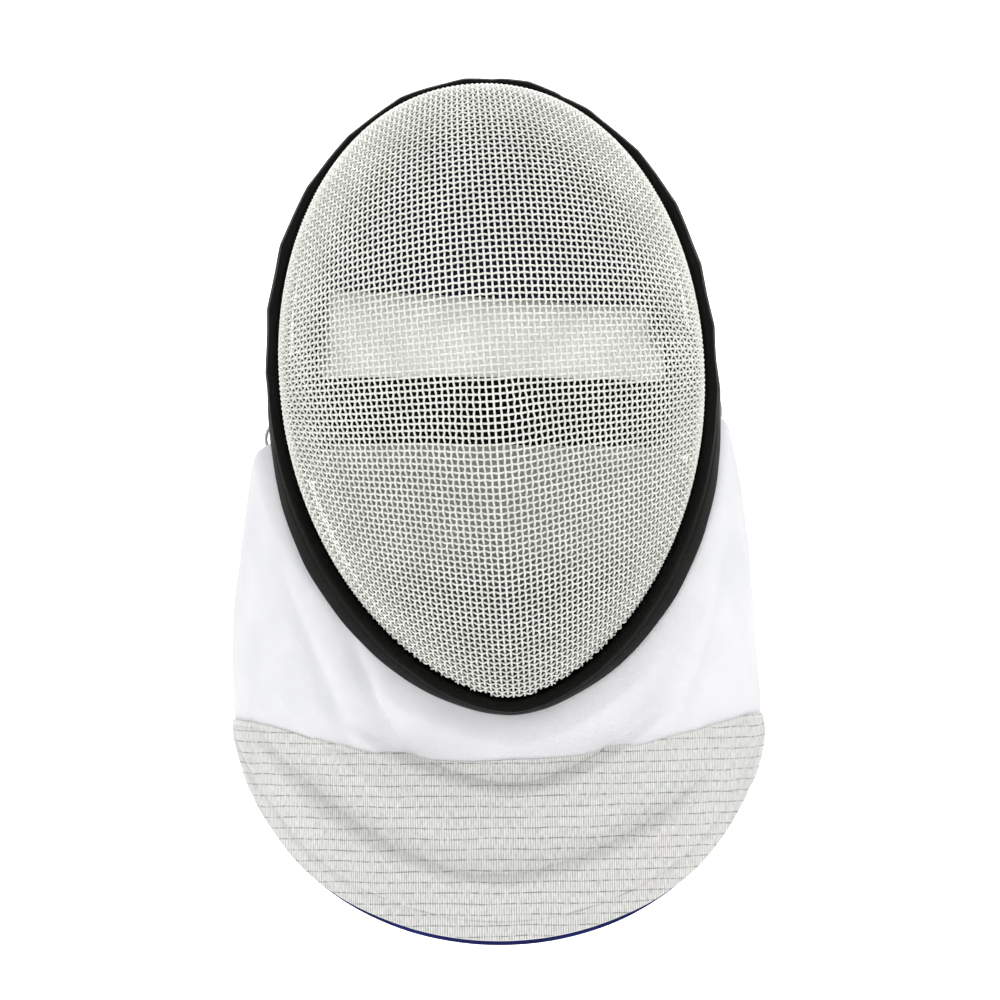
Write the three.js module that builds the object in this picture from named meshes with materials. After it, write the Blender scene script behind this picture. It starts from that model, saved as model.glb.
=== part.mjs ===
// Fencing mask with a conductive bib. Millimetres, +Z up, the face looks along -Y.
// The origin is where the crown liner rests on the top of the head.
import * as THREE from 'three';

// Mesh outline in the picture plane
const MASK_HALF_WIDTH = 93;
const RISE_ABOVE_WIDEST = 127;
const DROP_BELOW_WIDEST = 144;
const CROWN_LEVEL = 13;
const WIDEST_LEVEL = CROWN_LEVEL - RISE_ABOVE_WIDEST;
const TOP_ROUNDNESS = 2.08;
const CHIN_ROUNDNESS_DOWN = 1.92;
const CHIN_ROUNDNESS_ACROSS = 1.62;

// Depth of the mesh, from the front of the crease to the edge held by the trim
const DEPTH_TO_CROWN = 150;
const EDGE_STEP_TO_CHIN = 62;
const EDGE_BOW = 16;
const CREASE_DEPTH = 4;
const CREASE_HALF_WIDTH = 14;

// Formed mesh and its binding
const MESH_THICKNESS = 2;
const FLANGE_WIDTH = 8;
const FIT_GAP = 0.4;
const TRIM_WIDTH = 14;
const TRIM_OUTER_LEG = 5.4;
const TRIM_INNER_LEG = 2.3;
const TRIM_LIP = 1;

// Bib
const BIB_THICKNESS = 3;
const BIB_HALF_WIDTH = 117.5;
const BIB_CORNER_DROP = 155;
const BIB_CORNER_LEVEL = WIDEST_LEVEL - BIB_CORNER_DROP;
const BIB_HEM_DROP = 94;
const BIB_HEM_FRONT = 64;
const BIB_SIDE_BACK = 4;
const BIB_TURN_BACK = 20;
const BIB_EAR_STANDOFF = 8;
const BIB_TRIM_GAP = 1.8;
const BIB_EAR_SWEEP = 14;
const HEM_SWEEP = 84;
const UPPER_FOLD_DEPTH = 5;
const LOWER_FOLD_DEPTH = 5;
const LAME_THICKNESS = 1;
const LAME_LEVEL_AT_CHIN = 0.2;
const LAME_LEVEL_AT_EAR = 0.915;
const LINING_THICKNESS = 1;
const LINING_SHOW = 1.4;

// Padding inside
const LINER_THICKNESS = 5;
const LINER_SIDE_GAP = 9.2;
const LINER_HALF_WIDTH = MASK_HALF_WIDTH - LINER_SIDE_GAP;
const LINER_FRONT_GAP = 48;
const LINER_FRONT = DEPTH_TO_CROWN - LINER_FRONT_GAP;
const LINER_DROP = 84;
const LINER_EAR_DROP = 24;
const LINER_SWEEP = 80;
const LINER_CLIMB = 87;
const PAD_THICKNESS = 11;
const PAD_SIDE_GAP = 16;
const PAD_HALF_WIDTH = MASK_HALF_WIDTH - PAD_SIDE_GAP;
const PAD_FRONT_GAP = 38;
const PAD_FRONT = DEPTH_TO_CROWN - PAD_FRONT_GAP;
const PAD_TOP = -LINER_DROP;
const PAD_FLAP = 9.5;
const PAD_FOLD = PAD_TOP - PAD_FLAP;
const PAD_HEIGHT = 34.5;
const PAD_BOTTOM = PAD_TOP - PAD_HEIGHT;
const PAD_ROUNDING = 4;
const PAD_SWEEP = 79;
const CHIN_PAD_THICKNESS = 8;
const CHIN_PAD_DROP = 34;
const CHIN_PAD_TOP = WIDEST_LEVEL - CHIN_PAD_DROP;
const CHIN_PAD_RISE = 16;
const CHIN_PAD_BOTTOM = WIDEST_LEVEL - DROP_BELOW_WIDEST + CHIN_PAD_RISE;
const CHIN_PAD_SWEEP = 78;
const CHIN_PAD_STANDOFF = 20;
const CHIN_PAD_SIDE_GAP = 3.7;
const CHIN_PAD_WRAP = 6;

// Strap and its rings
const STRAP_WIDTH = 56;
const STRAP_THICKNESS = 2;
const STRAP_DROP = 15;
const STRAP_LEVEL = WIDEST_LEVEL - STRAP_DROP;
const STRAP_BACK = 98;
const STRAP_SIDE_GAP = 3;
const STRAP_HALF_WIDTH = MASK_HALF_WIDTH - STRAP_SIDE_GAP;
const STRAP_SWEEP = 99.2;
const RING_RADIUS = 7;
const RING_WIRE = 1.6;
const RING_DROP = 27;
const RING_LEVEL = WIDEST_LEVEL - RING_DROP;
const RING_SIDE_GAP = 4.4;
const RING_OUT = MASK_HALF_WIDTH + RING_SIDE_GAP;
const RING_BACK_GAP = 4.8;
const RING_LEAN = 27;

// Fineness of the faceted surfaces
const SPOKES = 68;
const BOWL_RINGS = 11;
const BIB_STEPS = 30;
const LINER_ROWS = 8;
const LINER_STEPS = 18;
const BAND_STEPS = 20;
const RING_STEPS = 16;
const BIB_UPPER_ROWS = 5;
const BIB_LOWER_ROWS = 8;

// How far the trim flares outward, in degrees, by its share of the way from crown to chin
const TRIM_FLARE = [
  { way: 0, flare: 3 },
  { way: 0.3, flare: 6 },
  { way: 0.48, flare: 4 },
  { way: 0.58, flare: 13 },
  { way: 0.66, flare: 25 },
  { way: 0.74, flare: 33 },
  { way: 0.84, flare: 33 },
  { way: 0.93, flare: 24 },
  { way: 1, flare: 8 },
];

// The U-shaped folds of the bib: their place down the bib, reach across it and width above and below
const BIB_FOLDS = [
  { down: 0.33, reach: 0.5, above: 0.14, below: 0.06, depth: UPPER_FOLD_DEPTH },
  { down: 0.73, reach: 0.82, above: 0.15, below: 0.06, depth: LOWER_FOLD_DEPTH },
];

const radians = THREE.MathUtils.degToRad;
const smooth = THREE.MathUtils.smoothstep;
const lerp = THREE.MathUtils.lerp;
const MASK_TOP = WIDEST_LEVEL + RISE_ABOVE_WIDEST;
const MASK_HEIGHT = RISE_ABOVE_WIDEST + DROP_BELOW_WIDEST;

// Reads a value from a short table, going straight from row to row.
function fromTable(rows, key, value, at) {
  let low = rows[0];
  for (const row of rows) {
    if (at <= row[key]) {
      return lerp(low[value], row[value], (at - low[key]) / Math.max(row[key] - low[key], 1e-9));
    }
    low = row;
  }
  return low[value];
}

// Outline of the mesh edge seen from the front; turn runs from +90 at the crown to -90 at the chin.
function outline(turn) {
  const across = Math.abs(Math.cos(turn));
  const up = Math.sin(turn);
  if (up >= 0) {
    const power = 2 / TOP_ROUNDNESS;
    return [MASK_HALF_WIDTH * across ** power, WIDEST_LEVEL + RISE_ABOVE_WIDEST * up ** power];
  }
  const x = MASK_HALF_WIDTH * across ** (2 / CHIN_ROUNDNESS_ACROSS);
  return [x, WIDEST_LEVEL - DROP_BELOW_WIDEST * (-up) ** (2 / CHIN_ROUNDNESS_DOWN)];
}

// Depth of the mesh edge at a height: it steps forward from the crown to the chin.
function edgeDepth(z) {
  const way = (MASK_TOP - z) / MASK_HEIGHT;
  return -(EDGE_STEP_TO_CHIN - EDGE_BOW) * way - EDGE_BOW * way * way;
}

// One point of the formed mesh; share is 0 at its front and 1 at its edge.
function meshPoint(turn, side, share) {
  const [edgeX, edgeZ] = outline(turn);
  const x = edgeX * share;
  const z = WIDEST_LEVEL + (edgeZ - WIDEST_LEVEL) * share;
  const heading = Math.atan2(edgeX, edgeZ - WIDEST_LEVEL);
  const along = Math.abs(Math.cos(heading));
  let start = 1.05 + 0.35 * along ** 2;
  let end = 3.5 - 0.5 * along ** 2;
  if (edgeZ < WIDEST_LEVEL) {
    start = 1.05 + 0.85 * along ** 4.6;
    end = 3.5 - 2.35 * along ** 1.45;
  }
  const bowl = 1 - (1 - share ** start) ** (1 / end);
  const below = smooth(WIDEST_LEVEL - z, 0, DROP_BELOW_WIDEST * 0.6);
  const crease = CREASE_DEPTH * below * Math.exp(-x / CREASE_HALF_WIDTH) * (1 - share ** 3);
  const y = -DEPTH_TO_CROWN + (edgeDepth(edgeZ) + DEPTH_TO_CROWN) * bowl - crease;
  return new THREE.Vector3(side * x, y, z);
}

// The turns of the outline at even steps along its edge, from crown to chin.
function evenTurns(count) {
  const fine = 720;
  const lengths = [0];
  let last = outline(Math.PI / 2);
  for (let i = 1; i <= fine; i += 1) {
    const next = outline(Math.PI / 2 - (Math.PI * i) / fine);
    lengths.push(lengths[i - 1] + Math.hypot(next[0] - last[0], next[1] - last[1]));
    last = next;
  }
  const turns = [];
  let at = 0;
  for (let k = 0; k <= count; k += 1) {
    const wanted = (lengths[fine] * k) / count;
    while (at < fine - 1 && lengths[at + 1] < wanted) {
      at += 1;
    }
    const part = (wanted - lengths[at]) / (lengths[at + 1] - lengths[at]);
    turns.push(Math.PI / 2 - (Math.PI * (at + Math.min(part, 1))) / fine);
  }
  return turns;
}

// Every spoke of the mask: its turn and side, its edge point and the way its flange and trim lean.
function makeSpoke(turn, side) {
  const edge = meshPoint(turn, side, 1);
  const step = 0.02;
  const before = outline(Math.min(turn + step, Math.PI / 2));
  const after = outline(Math.max(turn - step, -Math.PI / 2));
  const normal = new THREE.Vector3(before[1] - after[1], 0, after[0] - before[0]);
  if (edge.x * side < 1e-6) {
    normal.set(0, 0, Math.sign(turn));
  }
  normal.x *= side;
  normal.normalize();
  const way = (MASK_TOP - edge.z) / MASK_HEIGHT;
  const flare = radians(fromTable(TRIM_FLARE, 'way', 'flare', way));
  const along = new THREE.Vector3(0, Math.cos(flare), 0).addScaledVector(normal, Math.sin(flare));
  const outward = new THREE.Vector3(0, -Math.sin(flare), 0).addScaledVector(normal, Math.cos(flare));
  return { turn, side, edge, normal, along, outward };
}

// The spokes once round the mask: down the right side, up the left.
function allSpokes(count) {
  const turns = evenTurns(count / 2);
  const right = turns.map((turn) => makeSpoke(turn, 1));
  const left = turns.slice(1, -1).reverse().map((turn) => makeSpoke(turn, -1));
  return [...right, ...left];
}

// Shares of one spoke at even steps along the surface.
function evenShares(spoke, count) {
  const fine = 240;
  const shares = [0];
  const lengths = [0];
  let last = meshPoint(spoke.turn, spoke.side, 0);
  for (let i = 1; i <= fine; i += 1) {
    const share = 1 - (1 - i / fine) ** 3;
    const next = meshPoint(spoke.turn, spoke.side, share);
    shares.push(share);
    lengths.push(lengths[i - 1] + next.distanceTo(last));
    last = next;
  }
  const picked = [];
  let at = 0;
  for (let k = 0; k <= count; k += 1) {
    const wanted = (lengths[fine] * k) / count;
    while (at < fine - 1 && lengths[at + 1] < wanted) {
      at += 1;
    }
    const part = (wanted - lengths[at]) / (lengths[at + 1] - lengths[at]);
    picked.push(lerp(shares[at], shares[at + 1], Math.min(part, 1)));
  }
  return picked;
}

// Turns lists of points and faces into a mesh of one closed body facing outward.
function makePiece(name, points, faces, material) {
  let volume = 0;
  for (const [a, b, c] of faces) {
    volume += points[a].dot(points[b].clone().cross(points[c]));
  }
  const index = faces.flatMap(([a, b, c]) => (volume > 0 ? [a, b, c] : [a, c, b]));
  const geometry = new THREE.BufferGeometry();
  const flat = points.flatMap((point) => [point.x, point.y, point.z]);
  geometry.setAttribute('position', new THREE.Float32BufferAttribute(flat, 3));
  geometry.setIndex(index);
  geometry.computeVertexNormals();
  const mesh = new THREE.Mesh(geometry, material);
  mesh.name = name;
  return mesh;
}

function quad(a, b, c, d) {
  return [[a, b, c], [a, c, d]];
}

// Joins closed sections, one after another; round joins the last to the first, else both ends are capped.
function sweep(name, sections, round, material) {
  const size = sections[0].length;
  const points = sections.flat();
  const faces = [];
  const count = round ? sections.length : sections.length - 1;
  for (let i = 0; i < count; i += 1) {
    const here = i * size;
    const next = ((i + 1) % sections.length) * size;
    for (let j = 0; j < size; j += 1) {
      const k = (j + 1) % size;
      faces.push(...quad(here + j, next + j, next + k, here + k));
    }
  }
  if (!round) {
    const end = (sections.length - 1) * size;
    for (let j = 0; j < size / 2 - 1; j += 1) {
      const far = size - 1 - j;
      faces.push(...quad(j, j + 1, far - 1, far));
      faces.push(...quad(end + j, end + far, end + far - 1, end + j + 1));
    }
  }
  return makePiece(name, points, faces, material);
}

// A sheet between a front and a back face, both given by a function of the row and the column.
function sheet(name, rows, columns, front, back, material) {
  const points = [];
  for (const face of [front, back]) {
    for (let j = 0; j <= columns; j += 1) {
      for (let i = 0; i <= rows; i += 1) {
        points.push(face(i, j));
      }
    }
  }
  const under = points.length / 2;
  const at = (i, j) => j * (rows + 1) + i;
  const faces = [];
  for (let j = 0; j < columns; j += 1) {
    for (let i = 0; i < rows; i += 1) {
      const corners = [at(i, j), at(i, j + 1), at(i + 1, j + 1), at(i + 1, j)];
      const [a, b, c, d] = corners;
      faces.push([a, b, c], [a, c, d], [under + a, under + c, under + b], [under + a, under + d, under + c]);
    }
  }
  const rim = [];
  for (let j = 0; j < columns; j += 1) {
    rim.push([at(0, j + 1), at(0, j)], [at(rows, j), at(rows, j + 1)]);
  }
  for (let i = 0; i < rows; i += 1) {
    rim.push([at(i, 0), at(i + 1, 0)], [at(i + 1, columns), at(i, columns)]);
  }
  for (const [a, b] of rim) {
    faces.push(...quad(a, b, under + b, under + a));
  }
  return makePiece(name, points, faces, material);
}

function paint(colour, roughness, metalness = 0) {
  return new THREE.MeshStandardMaterial({ color: colour, roughness, metalness });
}

// The mesh: a fan at its front, rings out to its edge and a flange inside the trim.
function makeMeshShell(spokes) {
  const offset = MESH_THICKNESS / 2;
  const shareList = spokes.map((spoke) => evenShares(spoke, BOWL_RINGS));
  const mid = [];
  for (let ring = 1; ring <= BOWL_RINGS; ring += 1) {
    mid.push(spokes.map((spoke, k) => meshPoint(spoke.turn, spoke.side, shareList[k][ring])));
  }
  for (const reach of [TRIM_LIP, FLANGE_WIDTH]) {
    mid.push(spokes.map((spoke) => spoke.edge.clone().addScaledVector(spoke.along, reach)));
  }
  const nose = meshPoint(0, 1, 0);
  const count = spokes.length;
  const front = [new THREE.Vector3(0, nose.y - offset, nose.z)];
  const back = [new THREE.Vector3(0, nose.y + offset, nose.z)];
  mid.forEach((ring, i) => {
    ring.forEach((point, k) => {
      let normal = spokes[k].outward;
      if (i < BOWL_RINGS - 1) {
        const inner = i === 0 ? nose : mid[i - 1][k];
        const down = mid[i + 1][k].clone().sub(inner);
        const next = ring[(k + 1) % count].clone().sub(ring[(k + count - 1) % count]);
        normal = next.cross(down).normalize();
      }
      front.push(point.clone().addScaledVector(normal, offset));
      back.push(point.clone().addScaledVector(normal, -offset));
    });
  });
  const points = [...front, ...back];
  const faces = [];
  for (const base of [0, front.length]) {
    const flip = base > 0;
    const add = (a, b, c) => {
      faces.push(flip ? [base + a, base + c, base + b] : [base + a, base + b, base + c]);
    };
    for (let k = 0; k < count; k += 1) {
      const next = (k + 1) % count;
      add(0, 1 + next, 1 + k);
      for (let ring = 1; ring < mid.length; ring += 1) {
        const here = 1 + (ring - 1) * count;
        const out = 1 + ring * count;
        add(here + k, here + next, out + next);
        add(here + k, out + next, out + k);
      }
    }
  }
  const rim = 1 + (mid.length - 1) * count;
  for (let k = 0; k < count; k += 1) {
    const next = (k + 1) % count;
    faces.push(...quad(rim + k, rim + next, front.length + rim + next, front.length + rim + k));
  }
  return makePiece('mesh_shell', points, faces, paint('#ececE6', 0.4));
}

// The trim: a channel in section that straddles the flange of the mesh.
function makeTrim(spokes) {
  const inside = MESH_THICKNESS / 2 + FIT_GAP;
  const outside = inside + TRIM_OUTER_LEG;
  const within = inside + TRIM_INNER_LEG;
  const floor = FLANGE_WIDTH + FIT_GAP;
  const round = TRIM_INNER_LEG * 0.6;
  const profile = [
    [TRIM_LIP, outside],
    [TRIM_WIDTH - round, outside],
    [TRIM_WIDTH, outside - round],
    [TRIM_WIDTH, round - within],
    [TRIM_WIDTH - round, -within],
    [TRIM_LIP, -within],
    [TRIM_LIP, -inside],
    [floor, -inside],
    [floor, inside],
    [TRIM_LIP, inside],
  ];
  const sections = spokes.map((spoke) => profile.map(([reach, out]) => (
    spoke.edge.clone().addScaledVector(spoke.along, reach).addScaledVector(spoke.outward, out)
  )));
  return sweep('trim_border', sections, true, paint('#1e211c', 0.6));
}

// Middle surface of the bib before it is thickened; across runs -1 to 1, down 0 to 1 and past the hem.
function bibMiddle(across, down) {
  const side = across < 0 ? -1 : 1;
  const reach = Math.abs(across);
  const turn = -radians(90 - (90 - BIB_EAR_SWEEP) * reach);
  const spoke = makeSpoke(turn, side);
  const standoff = BIB_EAR_STANDOFF * smooth(reach, 0.5, 1) * smooth(down, 0, 0.08);
  const top = spoke.edge.clone().addScaledVector(spoke.along, TRIM_WIDTH + BIB_TRIM_GAP);
  top.addScaledVector(spoke.normal, standoff);
  const hemTurn = radians(HEM_SWEEP) * across;
  const forward = Math.cos(hemTurn) ** 1.2;
  const hem = new THREE.Vector3(
    BIB_HALF_WIDTH * Math.sin(hemTurn),
    lerp(BIB_SIDE_BACK, -BIB_HEM_FRONT, forward),
    BIB_CORNER_LEVEL - BIB_HEM_DROP * Math.cos(hemTurn),
  );
  const point = top.lerp(hem, down);
  const turnBack = BIB_TURN_BACK * smooth(reach, 0.8, 1) * smooth(down, 0, 0.6);
  point.y += turnBack;
  let dent = 0;
  for (const fold of BIB_FOLDS) {
    const away = down - fold.down;
    const width = away < 0 ? fold.above : fold.below;
    const fade = 1 - smooth(reach, fold.reach * 0.65, fold.reach);
    dent += fold.depth * fade * Math.exp(-((away / width) ** 2));
  }
  const facing = radians(55) * across;
  point.x -= dent * Math.sin(facing);
  point.y += dent * Math.cos(facing);
  return point;
}

// A point at a distance from the bib's middle surface, outward positive.
function bibPoint(across, down, distance) {
  const step = 0.004;
  const right = Math.min(across + step, 1);
  const left = Math.max(across - step, -1);
  const over = bibMiddle(right, down).sub(bibMiddle(left, down));
  const fall = bibMiddle(across, down + step).sub(bibMiddle(across, down - step));
  const normal = fall.cross(over).normalize();
  return bibMiddle(across, down).addScaledVector(normal, distance);
}

// Share down the bib where the conductive band begins.
function lameLevel(across) {
  return lerp(LAME_LEVEL_AT_CHIN, LAME_LEVEL_AT_EAR, Math.abs(across) ** 1.7);
}

function bibRow(row, across) {
  const level = lameLevel(across);
  if (row <= BIB_UPPER_ROWS) {
    return level * (row / BIB_UPPER_ROWS) ** 1.6;
  }
  return level + ((1 - level) * (row - BIB_UPPER_ROWS)) / BIB_LOWER_ROWS;
}

function makeBib() {
  const rows = BIB_UPPER_ROWS + BIB_LOWER_ROWS;
  const at = (column) => (2 * column) / BIB_STEPS - 1;
  const face = (distance, first, extra) => (i, j) => {
    const row = i + first;
    const shown = row === rows ? extra : 0;
    return bibPoint(at(j), bibRow(row, at(j)) + shown, distance);
  };
  const half = BIB_THICKNESS / 2;
  const over = half + FIT_GAP;
  const shown = LINING_SHOW / BIB_HEM_DROP;
  const bib = sheet('bib', rows, BIB_STEPS, face(half, 0, 0), face(-half, 0, 0), paint('#f4f4f4', 0.85));
  const lame = sheet(
    'lame_band',
    BIB_LOWER_ROWS,
    BIB_STEPS,
    face(over + LAME_THICKNESS, BIB_UPPER_ROWS, 0),
    face(over, BIB_UPPER_ROWS, 0),
    paint('#d8dad6', 0.45, 0.5),
  );
  const lining = sheet(
    'bib_lining',
    rows,
    BIB_STEPS,
    face(-over, 0, shown),
    face(-over - LINING_THICKNESS, 0, shown),
    paint('#1c2350', 0.8),
  );
  return [bib, lame, lining];
}

// Crown liner: a dome over the head, from the forehead pad up and back to the trim.
function makeCrownLiner() {
  const face = (grow) => (i, j) => {
    const climb = radians((LINER_CLIMB * i) / LINER_ROWS);
    const swing = radians(LINER_SWEEP) * ((2 * j) / LINER_STEPS - 1);
    const width = LINER_HALF_WIDTH + grow;
    const front = LINER_FRONT + grow;
    const height = LINER_DROP + grow;
    const ring = Math.cos(climb) ** 0.9;
    const ear = LINER_EAR_DROP * smooth(Math.abs(swing), radians(60), radians(LINER_SWEEP));
    return new THREE.Vector3(
      width * Math.sin(swing) * ring,
      -front * Math.cos(swing) * ring,
      height * Math.sin(climb) - LINER_DROP - ear * (1 - Math.sin(climb)) ** 2,
    );
  };
  return sheet('crown_liner', LINER_ROWS, LINER_STEPS, face(LINER_THICKNESS), face(0), paint('#141a3c', 0.9));
}

// A band round the head, in front (facing -1) or behind (facing 1), its section given by depth and level.
function padBand(name, profile, facing, halfWidth, reach, sweepDegrees, steps, material) {
  const sections = [];
  for (let k = 0; k <= steps; k += 1) {
    const swing = radians(sweepDegrees) * ((2 * k) / steps - 1);
    sections.push(profile.map(([inward, level]) => new THREE.Vector3(
      (halfWidth - inward) * Math.sin(swing),
      facing * (reach - inward) * Math.cos(swing),
      level,
    )));
  }
  return sweep(name, sections, false, material);
}

function makeForeheadPad() {
  const thick = PAD_THICKNESS;
  const gap = FIT_GAP;
  const round = PAD_ROUNDING;
  const material = paint('#f6f6f4', 0.9);
  const profile = [
    [thick * 0.75, PAD_TOP - gap],
    [thick * 0.25, PAD_FOLD + round / 4],
    [0, PAD_FOLD - round],
    [0, PAD_BOTTOM + round],
    [thick * 0.25, PAD_BOTTOM],
    [thick * 0.8, PAD_BOTTOM + round / 4],
    [thick, PAD_BOTTOM + 1.25 * round],
    [thick, PAD_FOLD - round],
    [thick, PAD_FOLD + round / 2],
    [thick, PAD_TOP - gap],
  ];
  return padBand('forehead_pad', profile, -1, PAD_HALF_WIDTH, PAD_FRONT, PAD_SWEEP, BAND_STEPS, material);
}

// Chin pad: follows the inside of the mesh from the eye slot to the chin.
function makeChinPad() {
  const face = (inward) => (i, j) => {
    const z = lerp(CHIN_PAD_TOP, CHIN_PAD_BOTTOM, i / LINER_ROWS);
    const fall = (WIDEST_LEVEL - z) / DROP_BELOW_WIDEST;
    const half = MASK_HALF_WIDTH * (1 - fall ** CHIN_ROUNDNESS_DOWN) ** (1 / CHIN_ROUNDNESS_ACROSS);
    const front = meshPoint(-Math.PI / 2, 1, fall).y + CHIN_PAD_STANDOFF;
    const back = Math.max(edgeDepth(z), front + CHIN_PAD_WRAP);
    const swing = radians(CHIN_PAD_SWEEP) * ((2 * j) / LINER_STEPS - 1);
    return new THREE.Vector3(
      (half - CHIN_PAD_SIDE_GAP - inward) * Math.sin(swing),
      lerp(back, front, Math.cos(swing)) + inward,
      z,
    );
  };
  return sheet('chin_pad', LINER_ROWS, LINER_STEPS, face(0), face(CHIN_PAD_THICKNESS), paint('#b8b9b6', 0.9));
}

// A ring of round wire behind the trim at the ear.
function makeRing(name, side) {
  const sections = [];
  const back = edgeDepth(RING_LEVEL) + TRIM_WIDTH + RING_BACK_GAP;
  for (let k = 0; k < RING_STEPS; k += 1) {
    const turn = (2 * Math.PI * k) / RING_STEPS;
    const lean = radians(RING_LEAN);
    const cross = new THREE.Vector3(-side * Math.sin(lean), Math.cos(lean), 0);
    const level = Math.cos(turn);
    const away = new THREE.Vector3(side * Math.cos(lean) * level, Math.sin(lean) * level, Math.sin(turn));
    const centre = new THREE.Vector3(side * RING_OUT, back, RING_LEVEL);
    centre.addScaledVector(away, RING_RADIUS);
    const section = [];
    for (let j = 0; j < 6; j += 1) {
      const spin = (2 * Math.PI * j) / 6;
      section.push(centre.clone()
        .addScaledVector(away, (RING_WIRE / 2) * Math.cos(spin))
        .addScaledVector(cross, (RING_WIRE / 2) * Math.sin(spin)));
    }
    sections.push(section);
  }
  return sweep(name, sections, true, paint('#c9cac8', 0.3, 1));
}

function makeBackStrap() {
  const high = STRAP_LEVEL + STRAP_WIDTH / 2;
  const low = STRAP_LEVEL - STRAP_WIDTH / 2;
  const profile = [[0, high], [0, low], [STRAP_THICKNESS, low], [STRAP_THICKNESS, high]];
  const material = paint('#141414', 0.9);
  return padBand('back_strap', profile, 1, STRAP_HALF_WIDTH, STRAP_BACK, STRAP_SWEEP, BAND_STEPS, material);
}

const spokes = allSpokes(SPOKES);
const mask = new THREE.Group();
mask.name = 'fencing_mask';
mask.add(makeMeshShell(spokes));
mask.add(makeTrim(spokes));
mask.add(...makeBib());
mask.add(makeCrownLiner());
mask.add(makeForeheadPad());
mask.add(makeChinPad());
mask.add(makeRing('strap_ring_left', -1));
mask.add(makeRing('strap_ring_right', 1));
mask.add(makeBackStrap());

export default mask;
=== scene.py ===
"""A foil fencing mask: a woven wire face in a bound edge, a bib with a conductive band, padding and strap.

Sizes are in millimetres and are turned to metres where a mesh is made.
"""

import logging
import math
from dataclasses import dataclass, field
from enum import Enum

import bpy
import numpy as np
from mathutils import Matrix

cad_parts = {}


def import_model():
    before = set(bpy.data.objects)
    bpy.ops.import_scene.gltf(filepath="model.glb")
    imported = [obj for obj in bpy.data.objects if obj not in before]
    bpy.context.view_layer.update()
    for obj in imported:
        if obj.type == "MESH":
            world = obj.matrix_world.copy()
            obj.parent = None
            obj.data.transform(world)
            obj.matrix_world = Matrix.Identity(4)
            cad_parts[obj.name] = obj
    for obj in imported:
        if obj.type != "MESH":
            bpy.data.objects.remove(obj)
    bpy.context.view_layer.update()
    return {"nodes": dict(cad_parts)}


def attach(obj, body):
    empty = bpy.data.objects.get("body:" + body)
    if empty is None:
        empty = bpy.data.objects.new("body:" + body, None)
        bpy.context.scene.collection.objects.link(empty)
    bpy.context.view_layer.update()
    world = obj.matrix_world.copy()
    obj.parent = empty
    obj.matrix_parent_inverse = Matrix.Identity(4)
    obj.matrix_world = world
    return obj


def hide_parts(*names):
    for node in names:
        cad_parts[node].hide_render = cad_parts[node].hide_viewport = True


LOG = logging.getLogger("fencing_mask")
MM = 0.001
Array = np.ndarray
Colour = tuple[float, float, float, float]


class Slot(Enum):
    """The record's material slots."""

    WIRE = "painted_mesh"
    BINDING = "black_binding"
    WHITE = "white_cloth"
    LAME = "conductive_cloth"
    NAVY = "navy_cloth"
    LINER = "liner_cloth"
    PAD = "pad_white"
    CHIN = "pad_grey"
    RING = "ring_wire"
    ELASTIC = "elastic_black"


class Family(Enum):
    """The two families of wires in the mesh."""

    COLUMNS = "upright"
    ROWS = "level"


# Helpers for shapes


def smooth(x: Array, low: float, high: float) -> Array:
    """Ease from 0 to 1 as x goes from low to high, by 3t squared minus 2t cubed."""
    t = np.clip((np.asarray(x, float) - low) / (high - low), 0, 1)
    return t * t * (3 - 2 * t)


def mix(a: Array, b: Array, share: Array) -> Array:
    """Go straight from a to b by share."""
    return a + (b - a) * share


def unit(v: Array) -> Array:
    """Scale vectors to length one."""
    return v / np.maximum(np.linalg.norm(v, axis=-1, keepdims=True), 1e-12)


def bell(x: Array, width: float) -> Array:
    """A bell at zero: e to the minus square of x over its width."""
    return np.exp(-((x / width) ** 2))


def power(wave: Array, exponent: float) -> Array:
    """Raise a wave to a power and keep its sign, which squares or pinches a round section."""
    return np.sign(wave) * np.abs(wave) ** exponent


def ripple(a: Array, b: Array, waves: tuple[tuple[float, float, float], ...]) -> Array:
    """The mean of a few sines of a and b.

    Args:
        a: First coordinate.
        b: Second coordinate.
        waves: Rows of rate along a, rate along b and phase.

    Returns:
        Values from -1 to 1.
    """
    return sum(np.sin(rate_a * a + rate_b * b + phase) for rate_a, rate_b, phase in waves) / len(waves)


def lengths(line: Array, axis: int = 0) -> Array:
    """Distance run along a line of points, which is the sum of the steps so far.

    Args:
        line: Points, their coordinates last.
        axis: Axis along which the points follow each other.

    Returns:
        Distances, 0 at the first point.
    """
    run = np.linalg.norm(np.diff(line, axis=axis), axis=-1).cumsum(axis)
    return np.concatenate([np.zeros_like(np.take(run, [0], axis)), run], axis)


def grid_quads(rows: int, columns: int, wrap: bool = False, loop: bool = False) -> Array:
    """Faces of a grid of points stored row by row.

    Args:
        rows: Points down.
        columns: Points across.
        wrap: Whether the last column joins the first.
        loop: Whether the last row joins the first.

    Returns:
        Faces of four point numbers each.
    """
    i = np.arange(rows if loop else rows - 1)[:, None]
    j = np.arange(columns if wrap else columns - 1)[None, :]
    below, beside = (i + 1) % rows, (j + 1) % columns
    corners = [i * columns + j, below * columns + j, below * columns + beside, i * columns + beside]
    return np.stack(corners, -1).reshape(-1, 4)


def outward(points: Array, quads: Array) -> Array:
    """Turn all faces round if the volume that they enclose comes out negative.

    Args:
        points: Points, one row each.
        quads: Faces of four points each, all turned the same way.

    Returns:
        The faces, facing outward.
    """
    a, b, c, d = (points[quads[:, k]] for k in range(4))
    volume = np.einsum("ij,ij->", a, np.cross(b, c)) + np.einsum("ij,ij->", a, np.cross(c, d))
    return quads if volume > 0 else quads[:, ::-1]


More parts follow.
